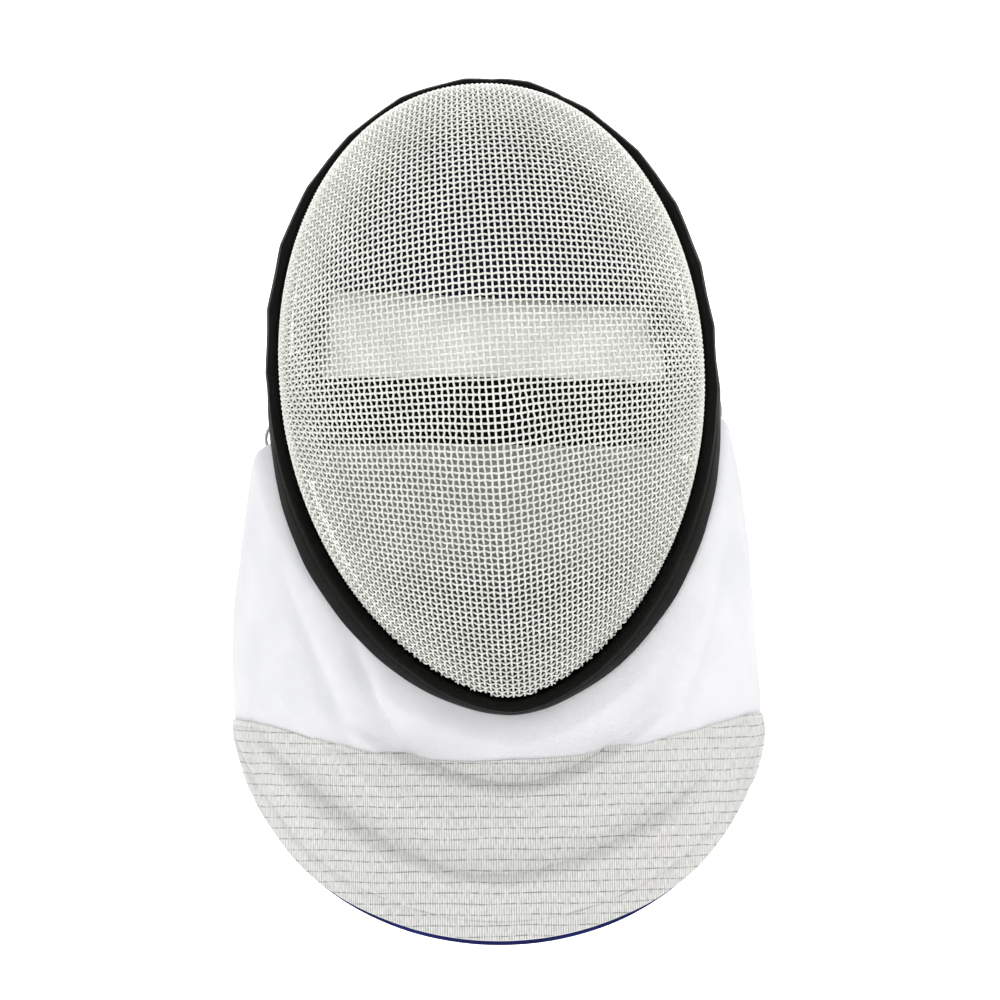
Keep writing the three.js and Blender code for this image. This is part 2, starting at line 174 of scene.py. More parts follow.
def make_object(name: str, points: Array, quads: Array, uv: Array | None = None,
                caps: Array | None = None, dark: Array | None = None,
                rides: bool = True) -> bpy.types.Object:
    """Make a mesh object from arrays in millimetres.

    Args:
        name: Name of the piece.
        points: Points, one row each.
        quads: Faces of four points each.
        uv: A pair of pattern coordinates in metres for each point.
        caps: Faces of another number of points, one row each.
        dark: Share of the finish's painted shade colour at each point.
        rides: Whether the object belongs to the mask; the floor doesn't.

    Returns:
        The object, which rides on the root body if it belongs to the mask.
    """
    mesh = bpy.data.meshes.new(name)
    quads = np.asarray(quads, np.int32)
    loops, starts = quads.ravel(), np.arange(len(quads), dtype=np.int32) * 4
    if caps is not None:
        caps = np.asarray(caps, np.int32)
        starts = np.concatenate([starts, len(loops) + np.arange(len(caps), dtype=np.int32) * caps.shape[1]])
        loops = np.concatenate([loops, caps.ravel()])
    mesh.vertices.add(len(points))
    mesh.vertices.foreach_set("co", (np.asarray(points, float) * MM).astype(np.float32).ravel())
    mesh.loops.add(len(loops))
    mesh.loops.foreach_set("vertex_index", loops.astype(np.int32))
    mesh.polygons.add(len(starts))
    mesh.polygons.foreach_set("loop_start", starts.astype(np.int32))
    mesh.update(calc_edges=True)
    mesh.validate()
    mesh.polygons.foreach_set("use_smooth", np.full(len(mesh.polygons), True))
    if uv is not None:
        layer = mesh.uv_layers.new(name="UVMap")
        layer.data.foreach_set("uv", np.asarray(uv, np.float32)[loops].ravel())
    # The dark share carries painted shade for the finish to mix in.
    if dark is not None:
        shares = mesh.attributes.new(name="dark", type="FLOAT", domain="POINT")
        shares.data.foreach_set("value", np.asarray(dark, np.float32).ravel())
    obj = bpy.data.objects.new(name, mesh)
    bpy.context.scene.collection.objects.link(obj)
    if rides:
        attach(obj, "root")
    return obj


def closed_sheet(front: Array, back: Array) -> tuple[Array, Array]:
    """Join two grids of points with the same shape into one closed sheet, by a rim of faces.

    Args:
        front: Points of the outer face, rows by columns.
        back: Points of the inner face.

    Returns:
        Points and faces, facing outward.
    """
    rows, columns = front.shape[:2]
    count = rows * columns
    points = np.concatenate([front.reshape(-1, 3), back.reshape(-1, 3)])
    face = grid_quads(rows, columns)
    number = np.arange(count).reshape(rows, columns)
    ring = np.concatenate([number[0, :-1], number[:-1, -1], number[-1, :0:-1], number[:0:-1, 0]])
    after = np.roll(ring, -1)
    rim = np.stack([ring, after, after + count, ring + count], -1)
    quads = np.concatenate([face, face[:, ::-1] + count, rim])
    return points, outward(points, quads)


def edge_share(length: Array, total: Array, radius: float) -> Array:
    """Thickness share near the edges of a sheet: a quarter round of the given radius.

    Args:
        length: Distance from one edge.
        total: Distance between both edges.
        radius: Radius of the rounded edge.

    Returns:
        A share from 0.12 to 1.
    """
    near = np.clip(np.minimum(length, total - length) / radius, 0, 1)
    return np.maximum(np.sqrt(1 - (1 - near) ** 2), 0.12)


def eased_steps(count: int, ends: int, near: float) -> Array:
    """Shares from 0 to 1: even steps, and finer ones by a quarter cosine close to both ends.

    Args:
        count: Even steps between.
        ends: Extra steps at each end.
        near: Share of the way that the extra steps take.

    Returns:
        The shares in order.
    """
    tip = near * (1 - np.cos(np.linspace(0, math.pi / 2, ends + 1)))[:-1]
    middle = np.linspace(near, 1 - near, count)
    return np.concatenate([tip, middle, 1 - tip[::-1]])


# Helpers for finishes


def tint(colour: str) -> Colour:
    """Turn an sRGB hex colour into linear light.

    Args:
        colour: A mark and six hex digits.

    Returns:
        Linear red, green, blue and alpha.
    """
    parts = [int(colour[k:k + 2], 16) / 255 for k in (1, 3, 5)]
    red, green, blue = (c / 12.92 if c <= 0.04045 else ((c + 0.055) / 1.055) ** 2.4 for c in parts)
    return red, green, blue, 1.0


def add_node(material: bpy.types.Material, kind: str, values: dict | None = None,
             links: dict | None = None, stops: tuple[tuple[float, str], ...] = (),
             **settings: object) -> bpy.types.Node:
    """Add a node to a material.

    Args:
        material: The material.
        kind: The node's type.
        values: Socket name or number to its value.
        links: Socket name or number to the output that feeds it.
        stops: A colour ramp's places with their hex colours.
        settings: Properties of the node.

    Returns:
        The node.
    """
    node = material.node_tree.nodes.new(kind)
    for key, value in settings.items():
        setattr(node, key, value)
    for key, value in (values or {}).items():
        node.inputs[key].default_value = value
    for key, output in (links or {}).items():
        material.node_tree.links.new(output, node.inputs[key])
    for stop, (place, colour) in zip(node.color_ramp.elements if stops else (), stops):
        stop.position, stop.color = place, tint(colour)
    return node


def bare_material(name: str) -> bpy.types.Material:
    """Make a material without nodes.

    Args:
        name: The material's name.

    Returns:
        The material.
    """
    material = bpy.data.materials.new(name)
    material.use_nodes = True
    material.node_tree.nodes.clear()
    return material


def close_material(material: bpy.types.Material, values: dict,
                   links: dict | None = None) -> bpy.types.Material:
    """Give a material its shader and output.

    Args:
        material: The material with its pattern nodes.
        values: The shader's values by socket name.
        links: The outputs that feed the shader by socket name.

    Returns:
        The material.
    """
    shader = add_node(material, "ShaderNodeBsdfPrincipled", values, links)
    add_node(material, "ShaderNodeOutputMaterial", links={"Surface": shader.outputs[0]})
    return material


def dress(obj: bpy.types.Object, material: bpy.types.Material, node: str) -> bpy.types.Object:
    """Give a piece its finish and the solid that it stands for.

    Args:
        obj: The piece.
        material: Its finish.
        node: Name of the solid.

    Returns:
        The piece.
    """
    obj.data.materials.append(material)
    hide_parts(node)
    return obj


# Finishes


@dataclass(frozen=True)
class CoatedWire:
    """Steel wire under a cream-white baked coat: a soft gloss that is faintly uneven and greyer in places."""

    colour: str = "#F6F6F0"
    shade: str = "#ECECE5"
    roughness: float = 0.42
    coat_ior: float = 1.5
    patch_mm: float = 14.0
    grain_rate: float = 2200.0
    grain_depth_mm: float = 0.1

    def make(self) -> bpy.types.Material:
        """Build the material: noise picks between two creams, finer noise roughens the coat.

        Returns:
            The material.
        """
        material = bare_material("baked_coat_on_steel_wire")
        place = add_node(material, "ShaderNodeTexCoord").outputs["Object"]
        patch = add_node(material, "ShaderNodeTexNoise", {"Scale": 1000 / self.patch_mm, "Detail": 4.0},
                         {"Vector": place})
        colour = add_node(material, "ShaderNodeValToRGB", links={"Fac": patch.outputs[0]},
                          stops=((0.35, self.shade), (0.6, self.colour)))
        grain = add_node(material, "ShaderNodeTexNoise", {"Scale": self.grain_rate, "Detail": 2.0},
                         {"Vector": place})
        bump = add_node(material, "ShaderNodeBump", {"Strength": 0.25, "Distance": self.grain_depth_mm * MM},
                        {"Height": grain.outputs[0]})
        return close_material(material, {"Roughness": self.roughness, "IOR": self.coat_ior},
                              {"Base Color": colour.outputs[0], "Normal": bump.outputs[0]})


@dataclass(frozen=True)
class WovenCloth:
    """Woven cloth: crossing threads as a small bump, a soft sheen, slightly uneven dye and, where a piece
    asks for it, painted shade.

    The threads are two to three times as coarse as real ones, so that they show in the render.
    """

    name: str
    colour: str
    shade: str
    thread_mm: float = 0.9
    depth_mm: float = 0.12
    roughness: float = 0.85
    sheen: float = 0.25
    patch_mm: float = 30.0
    rib: float = 1.0
    gloss: float = 0.5
    # Colour of painted shade, mixed in by each point's dark share; empty for none.
    painted_shade_colour: str = ""

    def make(self) -> bpy.types.Material:
        """Build the material: the bump is the product of two sines, one across and one up the cloth.

        Returns:
            The material, which reads the piece's pattern coordinates in metres.
        """
        material = bare_material(self.name)
        place = add_node(material, "ShaderNodeTexCoord")
        split = add_node(material, "ShaderNodeSeparateXYZ", links={0: place.outputs["UV"]})
        rate = 2 * math.pi / (self.thread_mm * MM)
        waves = []
        for axis, share in ((0, self.rib), (1, 1.0)):
            turn = add_node(material, "ShaderNodeMath", {1: rate * share}, {0: split.outputs[axis]},
                            operation="MULTIPLY")
            waves.append(add_node(material, "ShaderNodeMath", links={0: turn.outputs[0]}, operation="SINE"))
        weave = add_node(material, "ShaderNodeMath", links={0: waves[0].outputs[0], 1: waves[1].outputs[0]},
                         operation="MULTIPLY")
        patch = add_node(material, "ShaderNodeTexNoise", {"Scale": 1000 / self.patch_mm, "Detail": 5.0},
                         {"Vector": place.outputs["Object"]})
        colour = add_node(material, "ShaderNodeValToRGB", links={"Fac": patch.outputs[0]},
                          stops=((0.3, self.shade), (0.65, self.colour))).outputs[0]
        # Painted shade: each point's dark share mixes in the painted shade colour.
        if self.painted_shade_colour:
            share = add_node(material, "ShaderNodeAttribute", attribute_name="dark")
            colour = add_node(material, "ShaderNodeMix", {7: tint(self.painted_shade_colour)},
                              {0: share.outputs["Fac"], 6: colour}, data_type="RGBA").outputs[2]
        bump = add_node(material, "ShaderNodeBump", {"Strength": 0.6, "Distance": self.depth_mm * MM},
                        {"Height": weave.outputs[0]})
        look = {"Roughness": self.roughness, "Sheen Weight": self.sheen, "Specular IOR Level": self.gloss}
        return close_material(material, look, {"Base Color": colour, "Normal": bump.outputs[0]})


@dataclass(frozen=True)
class ConductiveCloth:
    """Metallised weave: silvery, finely ribbed up and down, with thin dashed darker threads across."""

    colour: str = "#EBEBE8"
    rib_shade: str = "#ADADAA"
    thread: str = "#7C7F7B"
    roughness: float = 0.55
    metal: float = 0.1
    line_mm: float = 4.7
    line_half_mm: tuple[float, float] = (0.1, 0.4)
    waver_mm: float = 1.8
    rib_mm: float = 1.09
    rib_weight: float = 0.26
    rib_depth_mm: float = 0.12
    slub_rate: tuple[float, float, float] = (1500.0, 260.0, 1.0)
    dash_rate: float = 330.0
    dash_strength: tuple[float, float] = (0.2, 0.85)

    def make(self) -> bpy.types.Material:
        """Build the material, with U across the band and V up it, both in metres.

        The ribs are a sine across plus stretched noise. A line is dark where V, wavering a little,
        comes back to a whole number of line spacings, by a strength that noise breaks into dashes.

        Returns:
            The material.
        """
        material = bare_material("metallised_weave")
        place = add_node(material, "ShaderNodeTexCoord").outputs["UV"]
        split = add_node(material, "ShaderNodeSeparateXYZ", links={0: place})
        waver = add_node(material, "ShaderNodeTexNoise", {"Scale": 45.0, "Detail": 1.0}, {"Vector": place})
        level = add_node(material, "ShaderNodeMath", {1: self.waver_mm * MM},
                         {0: waver.outputs[0], 2: split.outputs[1]}, operation="MULTIPLY_ADD")
        lines = add_node(material, "ShaderNodeMath", {1: self.line_mm * MM / 2}, {0: level.outputs[0]},
                         operation="PINGPONG")
        core, fade = self.line_half_mm
        thin = add_node(material, "ShaderNodeMapRange", {1: core * MM, 2: fade * MM, 3: 1.0, 4: 0.0},
                        {0: lines.outputs[0]})
        turn = add_node(material, "ShaderNodeMath", {1: 2 * math.pi / (self.rib_mm * MM)},
                        {0: split.outputs[0]}, operation="MULTIPLY")
        rib = add_node(material, "ShaderNodeMath", links={0: turn.outputs[0]}, operation="SINE")
        stretch = add_node(material, "ShaderNodeMapping", {"Scale": self.slub_rate}, {0: place})
        slub = add_node(material, "ShaderNodeTexNoise", {"Scale": 1.0, "Detail": 2.0},
                        {"Vector": stretch.outputs[0]})
        shade = add_node(material, "ShaderNodeMath", {1: self.rib_weight},
                         {0: rib.outputs[0], 2: slub.outputs[0]}, operation="MULTIPLY_ADD")
        cloth = add_node(material, "ShaderNodeValToRGB", links={"Fac": shade.outputs[0]},
                         stops=((0.14, self.rib_shade), (0.74, self.colour)))
        dash = add_node(material, "ShaderNodeTexNoise", {"Scale": self.dash_rate, "Detail": 1.0},
                        {"Vector": place})
        weak, strong = self.dash_strength
        dashed = add_node(material, "ShaderNodeMapRange", {1: 0.38, 2: 0.6, 3: weak, 4: strong},
                          {0: dash.outputs[0]})
        dark = add_node(material, "ShaderNodeMath", links={0: thin.outputs[0], 1: dashed.outputs[0]},
                        operation="MULTIPLY")
        colour = add_node(material, "ShaderNodeMix", {7: tint(self.thread)},
                          {0: dark.outputs[0], 6: cloth.outputs[0]}, data_type="RGBA")
        bump = add_node(material, "ShaderNodeBump", {"Strength": 0.4, "Distance": self.rib_depth_mm * MM},
                        {"Height": shade.outputs[0]})
        return close_material(material, {"Roughness": self.roughness, "Metallic": self.metal},
                              {"Base Color": colour.outputs[2], "Normal": bump.outputs[0]})


@dataclass(frozen=True)
class BentWire:
    """Drawn steel wire, lightly polished: plain grey metal whose gloss changes with fine drawing marks."""

    colour: str = "#C4C5C3"
    shade: str = "#A9AAA8"
    roughness: tuple[float, float] = (0.22, 0.42)
    mark_rate: float = 900.0

    def make(self) -> bpy.types.Material:
        """Build the material: the same noise sets the roughness and the grey.

        Returns:
            The material.
        """
        material = bare_material("drawn_steel_wire")
        place = add_node(material, "ShaderNodeTexCoord").outputs["Object"]
        marks = add_node(material, "ShaderNodeTexNoise", {"Scale": self.mark_rate, "Detail": 4.0},
                         {"Vector": place})
        low, high = self.roughness
        rough = add_node(material, "ShaderNodeMapRange", {3: low, 4: high}, {0: marks.outputs[0]})
        colour = add_node(material, "ShaderNodeValToRGB", links={"Fac": marks.outputs[0]},
                          stops=((0.3, self.shade), (0.7, self.colour)))
        return close_material(material, {"Metallic": 1.0},
                              {"Base Color": colour.outputs[0], "Roughness": rough.outputs[0]})


@dataclass(frozen=True)
class MattPaper:
    """Studio paper: nearly white and without gloss."""

    colour: str = "#FCFCFC"
    roughness: float = 0.95

    def make(self) -> bpy.types.Material:
        """Build the material.

        Returns:
            The material.
        """
        return close_material(bare_material("matt_paper"),
                              {"Base Color": tint(self.colour), "Roughness": self.roughness})


# The form that all pieces share


@dataclass(frozen=True)
class MaskForm:
    """Outline and depth of the formed mesh, in millimetres.

    They are those of the solids, but for a chin that is up to two millimetres fuller. Each start and
    end is a gain and a power of how upright a heading is; they change the bowl's two powers.
    """

    half_width: float = 93.0
    rise: float = 127.0
    drop: float = 144.0
    widest: float = -114.0
    top_round: float = 2.08
    chin_down: float = 2.0
    chin_across: float = 1.66
    depth: float = 150.0
    edge_step: float = 62.0
    edge_bow: float = 16.0
    crease: float = 4.0
    crease_width: float = 14.0
    bowl_start: float = 1.05
    bowl_end: float = 3.5
    low_start: tuple[float, float] = (0.85, 4.6)
    high_start: tuple[float, float] = (0.35, 2.0)
    low_end: tuple[float, float] = (2.35, 1.45)
    high_end: tuple[float, float] = (0.5, 2.0)
    flare_ways: tuple[float, ...] = (0, 0.3, 0.48, 0.58, 0.66, 0.74, 0.84, 0.93, 1)
    flare_degrees: tuple[float, ...] = (3, 6, 4, 13, 25, 33, 33, 24, 8)

    def outline(self, turn: Array) -> tuple[Array, Array]:
        """Edge of the mesh from the front.

        Two superellipse halves meet at the widest level: x is the half width times a power of the
        cosine, and z goes up or down from there by a power of the sine.

        Args:
            turn: Angle above the widest level, from a quarter turn to minus a quarter turn.

        Returns:
            Distance from the middle, and height.
        """
        across, up = np.abs(np.cos(turn)), np.sin(turn)
        over, under = np.clip(up, 0, None), np.clip(-up, 0, None)
        high = up >= 0
        x = self.half_width * np.where(high, across ** (2 / self.top_round), across ** (2 / self.chin_across))
        z = self.widest + self.rise * over ** (2 / self.top_round) - self.drop * under ** (2 / self.chin_down)
        return x, z

    def half_at(self, z: Array) -> Array:
        """Half width of the outline at a height, from the same superellipses.

        Args:
            z: Height.

        Returns:
            Half width, 0 above the crown and below the chin.
        """
        over = np.clip((z - self.widest) / self.rise, 0, 1)
        under = np.clip((self.widest - z) / self.drop, 0, 1)
        high = (1 - over ** self.top_round) ** (1 / self.top_round)
        low = (1 - under ** self.chin_down) ** (1 / self.chin_across)
        return self.half_width * np.where(z >= self.widest, high, low)

    def way(self, z: Array) -> Array:
        """Share of the way from the crown to the chin."""
        return (self.widest + self.rise - z) / (self.rise + self.drop)

    def edge_depth(self, z: Array) -> Array:
        """Depth of the mesh edge at a height: a straight step forward plus a squared one."""
        way = self.way(z)
        return -(self.edge_step - self.edge_bow) * way - self.edge_bow * way * way

    def surface(self, edge_x: Array, edge_z: Array, share: Array) -> Array:
        """Points of the formed mesh.

        Each point lies a share of the way from the front of the crease to an edge point. Its depth
        is one less the root of one less a power of the share, with powers that depend on the
        heading, less a ridge down the lower middle that fades sideways.

        Args:
            edge_x: Edge point across, its sign giving the side.
            edge_z: Edge point's height.
            share: Share of the way out.

        Returns:
            Points, with their coordinates last.
        """
        size = np.hypot(edge_x, edge_z - self.widest)
        along = np.abs(edge_z - self.widest) / size
        low = edge_z < self.widest
        ways = (gain * along ** rate for gain, rate in
                (self.low_start, self.high_start, self.low_end, self.high_end))
        low_start, high_start, low_end, high_end = ways
        start = self.bowl_start + np.where(low, low_start, high_start)
        end = self.bowl_end - np.where(low, low_end, high_end)
        share = np.clip(share, 0, 1)
        bowl = 1 - (1 - share ** start) ** (1 / end)
        x, z = edge_x * share, self.widest + (edge_z - self.widest) * share
        below = smooth(self.widest - z, 0, self.drop * 0.6)
        ridge = self.crease * below * np.exp(-np.abs(x) / self.crease_width) * (1 - share ** 3)
        y = -self.depth + (self.edge_depth(edge_z) + self.depth) * bowl - ridge
        return np.stack([x, y, z], -1)

    def lean(self, turn: Array, side: Array) -> tuple[Array, Array, Array, Array]:
        """Edge points with the outline's normal and the lean of the flange.

        The flange runs straight back, turned outward by the flare of its place between crown and chin.

        Args:
            turn: Place round the edge, from a quarter turn at the crown to minus one at the chin.
            side: Minus one on the left and one on the right.

        Returns:
            Edge points, outline normals, the way the flange runs and the way it faces.
        """
        x, z = self.outline(turn)
        edge = np.stack([x * side, self.edge_depth(z), z], -1)
        bx, bz = self.outline(np.minimum(turn + 0.02, math.pi / 2))
        ax, az = self.outline(np.maximum(turn - 0.02, -math.pi / 2))
        normal = np.stack([bz - az, np.zeros_like(x), ax - bx], -1)
        tip = (x < 1e-6)[..., None]
        normal = np.where(tip, np.stack([0 * x, 0 * x, np.sign(turn)], -1), normal)
        normal[..., 0] *= side
        normal = unit(normal)
        flare = np.radians(np.interp(self.way(z), self.flare_ways, self.flare_degrees))[..., None]
        back = np.array([0.0, 1.0, 0.0])
        along = back * np.cos(flare) + normal * np.sin(flare)
        return edge, normal, along, normal * np.cos(flare) - back * np.sin(flare)

    def round_turns(self, count: int) -> tuple[Array, Array]:
        """Turns and sides at even steps once round the edge, from the crown down the right side.

        Args:
            count: Number of steps, an even one.

        Returns:
            The outline's turn at each step, and minus one on the left and one on the right.
        """
        fine = np.linspace(math.pi / 2, -math.pi / 2, 1441)
        x, z = self.outline(fine)
        length = np.concatenate([[0], np.cumsum(np.hypot(np.diff(x), np.diff(z)))])
        right = np.interp(np.linspace(0, length[-1], count // 2 + 1), length, fine)
        turn = np.concatenate([right, right[-2:0:-1]])
        side = np.concatenate([np.ones(len(right)), -np.ones(len(right) - 2)])
        return turn, side


# The woven mesh


@dataclass
class WovenMesh:
    """The face guard: crimped wires woven over and under, following the formed surface.

    The flat weave is laid on the form as a cloth pressed from its front: a point of the weave at a
    distance and a heading from the middle goes to the same distance along the surface on that heading.
    Where the form turns steep, the drawing stretches the weave by up to the spread.
    """

    form: MaskForm
    column_pitch: float = 2.94
    row_pitch: float = 3.12
    wire: float = 1.0
    crimp: float = 0.5
    sides: int = 5
    steps: int = 3
    steep: float = 0.5
    spread: float = 1.8
    headings: int = 721
    rings: int = 240
    size: float = 240.0
    split_row: int = 3
    angle: Array = field(init=False)
    edge_x: Array = field(init=False)
    edge_z: Array = field(init=False)
    reach: Array = field(init=False)
    share: Array = field(init=False)

    def __post_init__(self) -> None:
        """Chart the form."""
        self.chart()

    def chart(self) -> None:
        """Tabulate, for every heading, the edge point, the length out to it and the share at each length.

        The length is measured along the surface, and shorter where the surface is steeper than the
        steep limit, because the weave is stretched there.
        """
        turn = np.linspace(math.pi / 2, -math.pi / 2, 2881)
        x, z = self.form.outline(turn)
        heading = np.arctan2(x, z - self.form.widest)
        self.angle = np.linspace(0, math.pi, self.headings)
        self.edge_x = np.interp(self.angle, heading, x)
        self.edge_z = np.interp(self.angle, heading, z)
        share = 1 - (1 - np.linspace(0, 1, 600)) ** 3
        line = self.form.surface(self.edge_x[:, None], self.edge_z[:, None], share[None, :])
        step = np.diff(line, axis=1)
        length = np.linalg.norm(step, axis=-1)
        facing = np.hypot(step[..., 0], step[..., 2]) / np.maximum(length, 1e-9)
        run = (length * np.clip(facing / self.steep, 1 / self.spread, 1)).cumsum(axis=1)
        run = np.concatenate([np.zeros((len(run), 1)), run], 1)
        self.reach = run[:, -1]
        even = np.linspace(0, 1, self.rings)
        self.share = np.stack([np.interp(even * r[-1], r, share) for r in run])

    def inside(self, u: Array, v: Array) -> Array:
        """Distance from the middle less the reach of the surface on that heading.

        Args:
            u: Place across the flat weave.
            v: Place up the flat weave.

        Returns:
            A distance, negative inside the edge.
        """
        heading = np.arctan2(np.abs(u), v)
        return np.hypot(u, v) - np.interp(heading, self.angle, self.reach)

    def place(self, u: Array, v: Array) -> Array:
        """Points on the form for points of the flat weave, read from the chart by straight steps.

        Args:
            u: Place across the flat weave.
            v: Place up the flat weave.

        Returns:
            Points, with their coordinates last.
        """
        heading = np.arctan2(np.abs(u), v)
        out = np.clip(np.hypot(u, v) / np.interp(heading, self.angle, self.reach), 0, 1)
        a = heading / math.pi * (self.headings - 1)
        b = out * (self.rings - 1)
        i = np.clip(a.astype(int), 0, self.headings - 2)
        j = np.clip(b.astype(int), 0, self.rings - 2)
        fa, fb = a - i, b - j
        t = self.share
        share = mix(mix(t[i, j], t[i + 1, j], fa), mix(t[i, j + 1], t[i + 1, j + 1], fa), fb)
        edge_x = np.interp(heading, self.angle, self.edge_x) * np.where(u < 0, -1, 1)
        edge_z = np.interp(heading, self.angle, self.edge_z)
        return self.form.surface(edge_x, edge_z, share)

    def wires(self, family: Family, lines: Array) -> tuple[Array, Array, Array]:
        """Tubes of one family of wires.

        Each wire follows its line of the weave with a wave of the crimp's height across the
        surface, up where it passes over and down where it passes under.

        Args:
            family: Columns or rows.
            lines: Whole numbers of the wires.

        Returns:
            Points, side faces and end faces.
        """
        upright = family is Family.COLUMNS
        own, other = (self.column_pitch, self.row_pitch) if upright else (self.row_pitch, self.column_pitch)
        span = int(self.size / other) * self.steps
        sample = np.arange(-span, span + 1) * other / self.steps
        along, line = np.meshgrid(sample, lines.astype(float) * own)
        u, v = (line, along) if upright else (along, line)
        gap = self.inside(u, v)
        keep = gap < 0
        first = (~keep[:, :-1]) & keep[:, 1:]
        last = keep[:, :-1] & (~keep[:, 1:])
        change = gap[:, :-1] - gap[:, 1:]
        cut = gap[:, :-1] / np.where(np.abs(change) < 1e-9, 1, change)
        edge = sample[:-1] + np.clip(cut, 0, 1) * other / self.steps
        along[:, :-1] = np.where(first, edge, along[:, :-1])
        along[:, 1:] = np.where(last, edge, along[:, 1:])
        keep[:, :-1] |= first
        keep[:, 1:] |= last
        row, column = np.nonzero(keep)
        t, w = along[row, column], line[row, column]
        u, v = (w, t) if upright else (t, w)
        nudge = 0.15
        centre = self.place(u, v)
        right = self.place(u + nudge, v) - self.place(u - nudge, v)
        up = self.place(u, v + nudge) - self.place(u, v - nudge)
        normal = unit(np.cross(right, up))
        along_vector = unit(up if upright else right)
        phase = math.pi * (t / other + lines[row] + (0 if upright else 1))
        centre = centre + normal * (self.crimp * np.cos(phase))[:, None]
        across = unit(np.cross(along_vector, normal))
        spin = 2 * math.pi * np.arange(self.sides) / self.sides
        ring = (normal[:, None, :] * np.cos(spin)[None, :, None]
                + across[:, None, :] * np.sin(spin)[None, :, None]) * self.wire / 2
        points = (centre[:, None, :] + ring).reshape(-1, 3)
        joined = np.nonzero(row[:-1] == row[1:])[0]
        k = np.arange(self.sides)
        n = (k + 1) % self.sides
        base = joined[:, None] * self.sides
        beyond = base + self.sides
        quads = np.stack([base + k, beyond + k, beyond + n, base + n], -1).reshape(-1, 4)
        starts = np.nonzero(np.concatenate([[True], row[1:] != row[:-1]]))[0]
        ends = np.nonzero(np.concatenate([row[1:] != row[:-1], [True]]))[0]
        caps = np.concatenate([starts[:, None] * self.sides + k, ends[:, None] * self.sides + k[::-1]])
        a, b = points[quads[0, 0]] - centre[joined[0]], points[quads[0, 1]] - points[quads[0, 0]]
        c = points[quads[0, 3]] - points[quads[0, 0]]
        if np.dot(a, np.cross(b, c)) < 0:
            quads, caps = quads[:, ::-1], caps[:, ::-1]
        return points, quads, caps

    def build(self, finish: CoatedWire) -> list[bpy.types.Object]:
        """Weave the columns and the rows, each family in two halves.

        Args:
            finish: The wire's finish.

        Returns:
            The four pieces.
        """
        material = finish.make()
        across, tall = int(self.size / self.column_pitch), int(self.size / self.row_pitch)
        halves = (
            ("mesh_columns_left", Family.COLUMNS, np.arange(-across, 1)),
            ("mesh_columns_right", Family.COLUMNS, np.arange(1, across + 1)),
            ("mesh_rows_upper", Family.ROWS, np.arange(self.split_row, tall + 1)),
            ("mesh_rows_lower", Family.ROWS, np.arange(-tall, self.split_row)),
        )
        pieces = []
        for name, family, lines in halves:
            points, quads, caps = self.wires(family, lines)
            obj = make_object(name, points, quads, caps=caps)
            pieces.append(dress(obj, material, "mesh_shell"))
        return pieces


# The binding


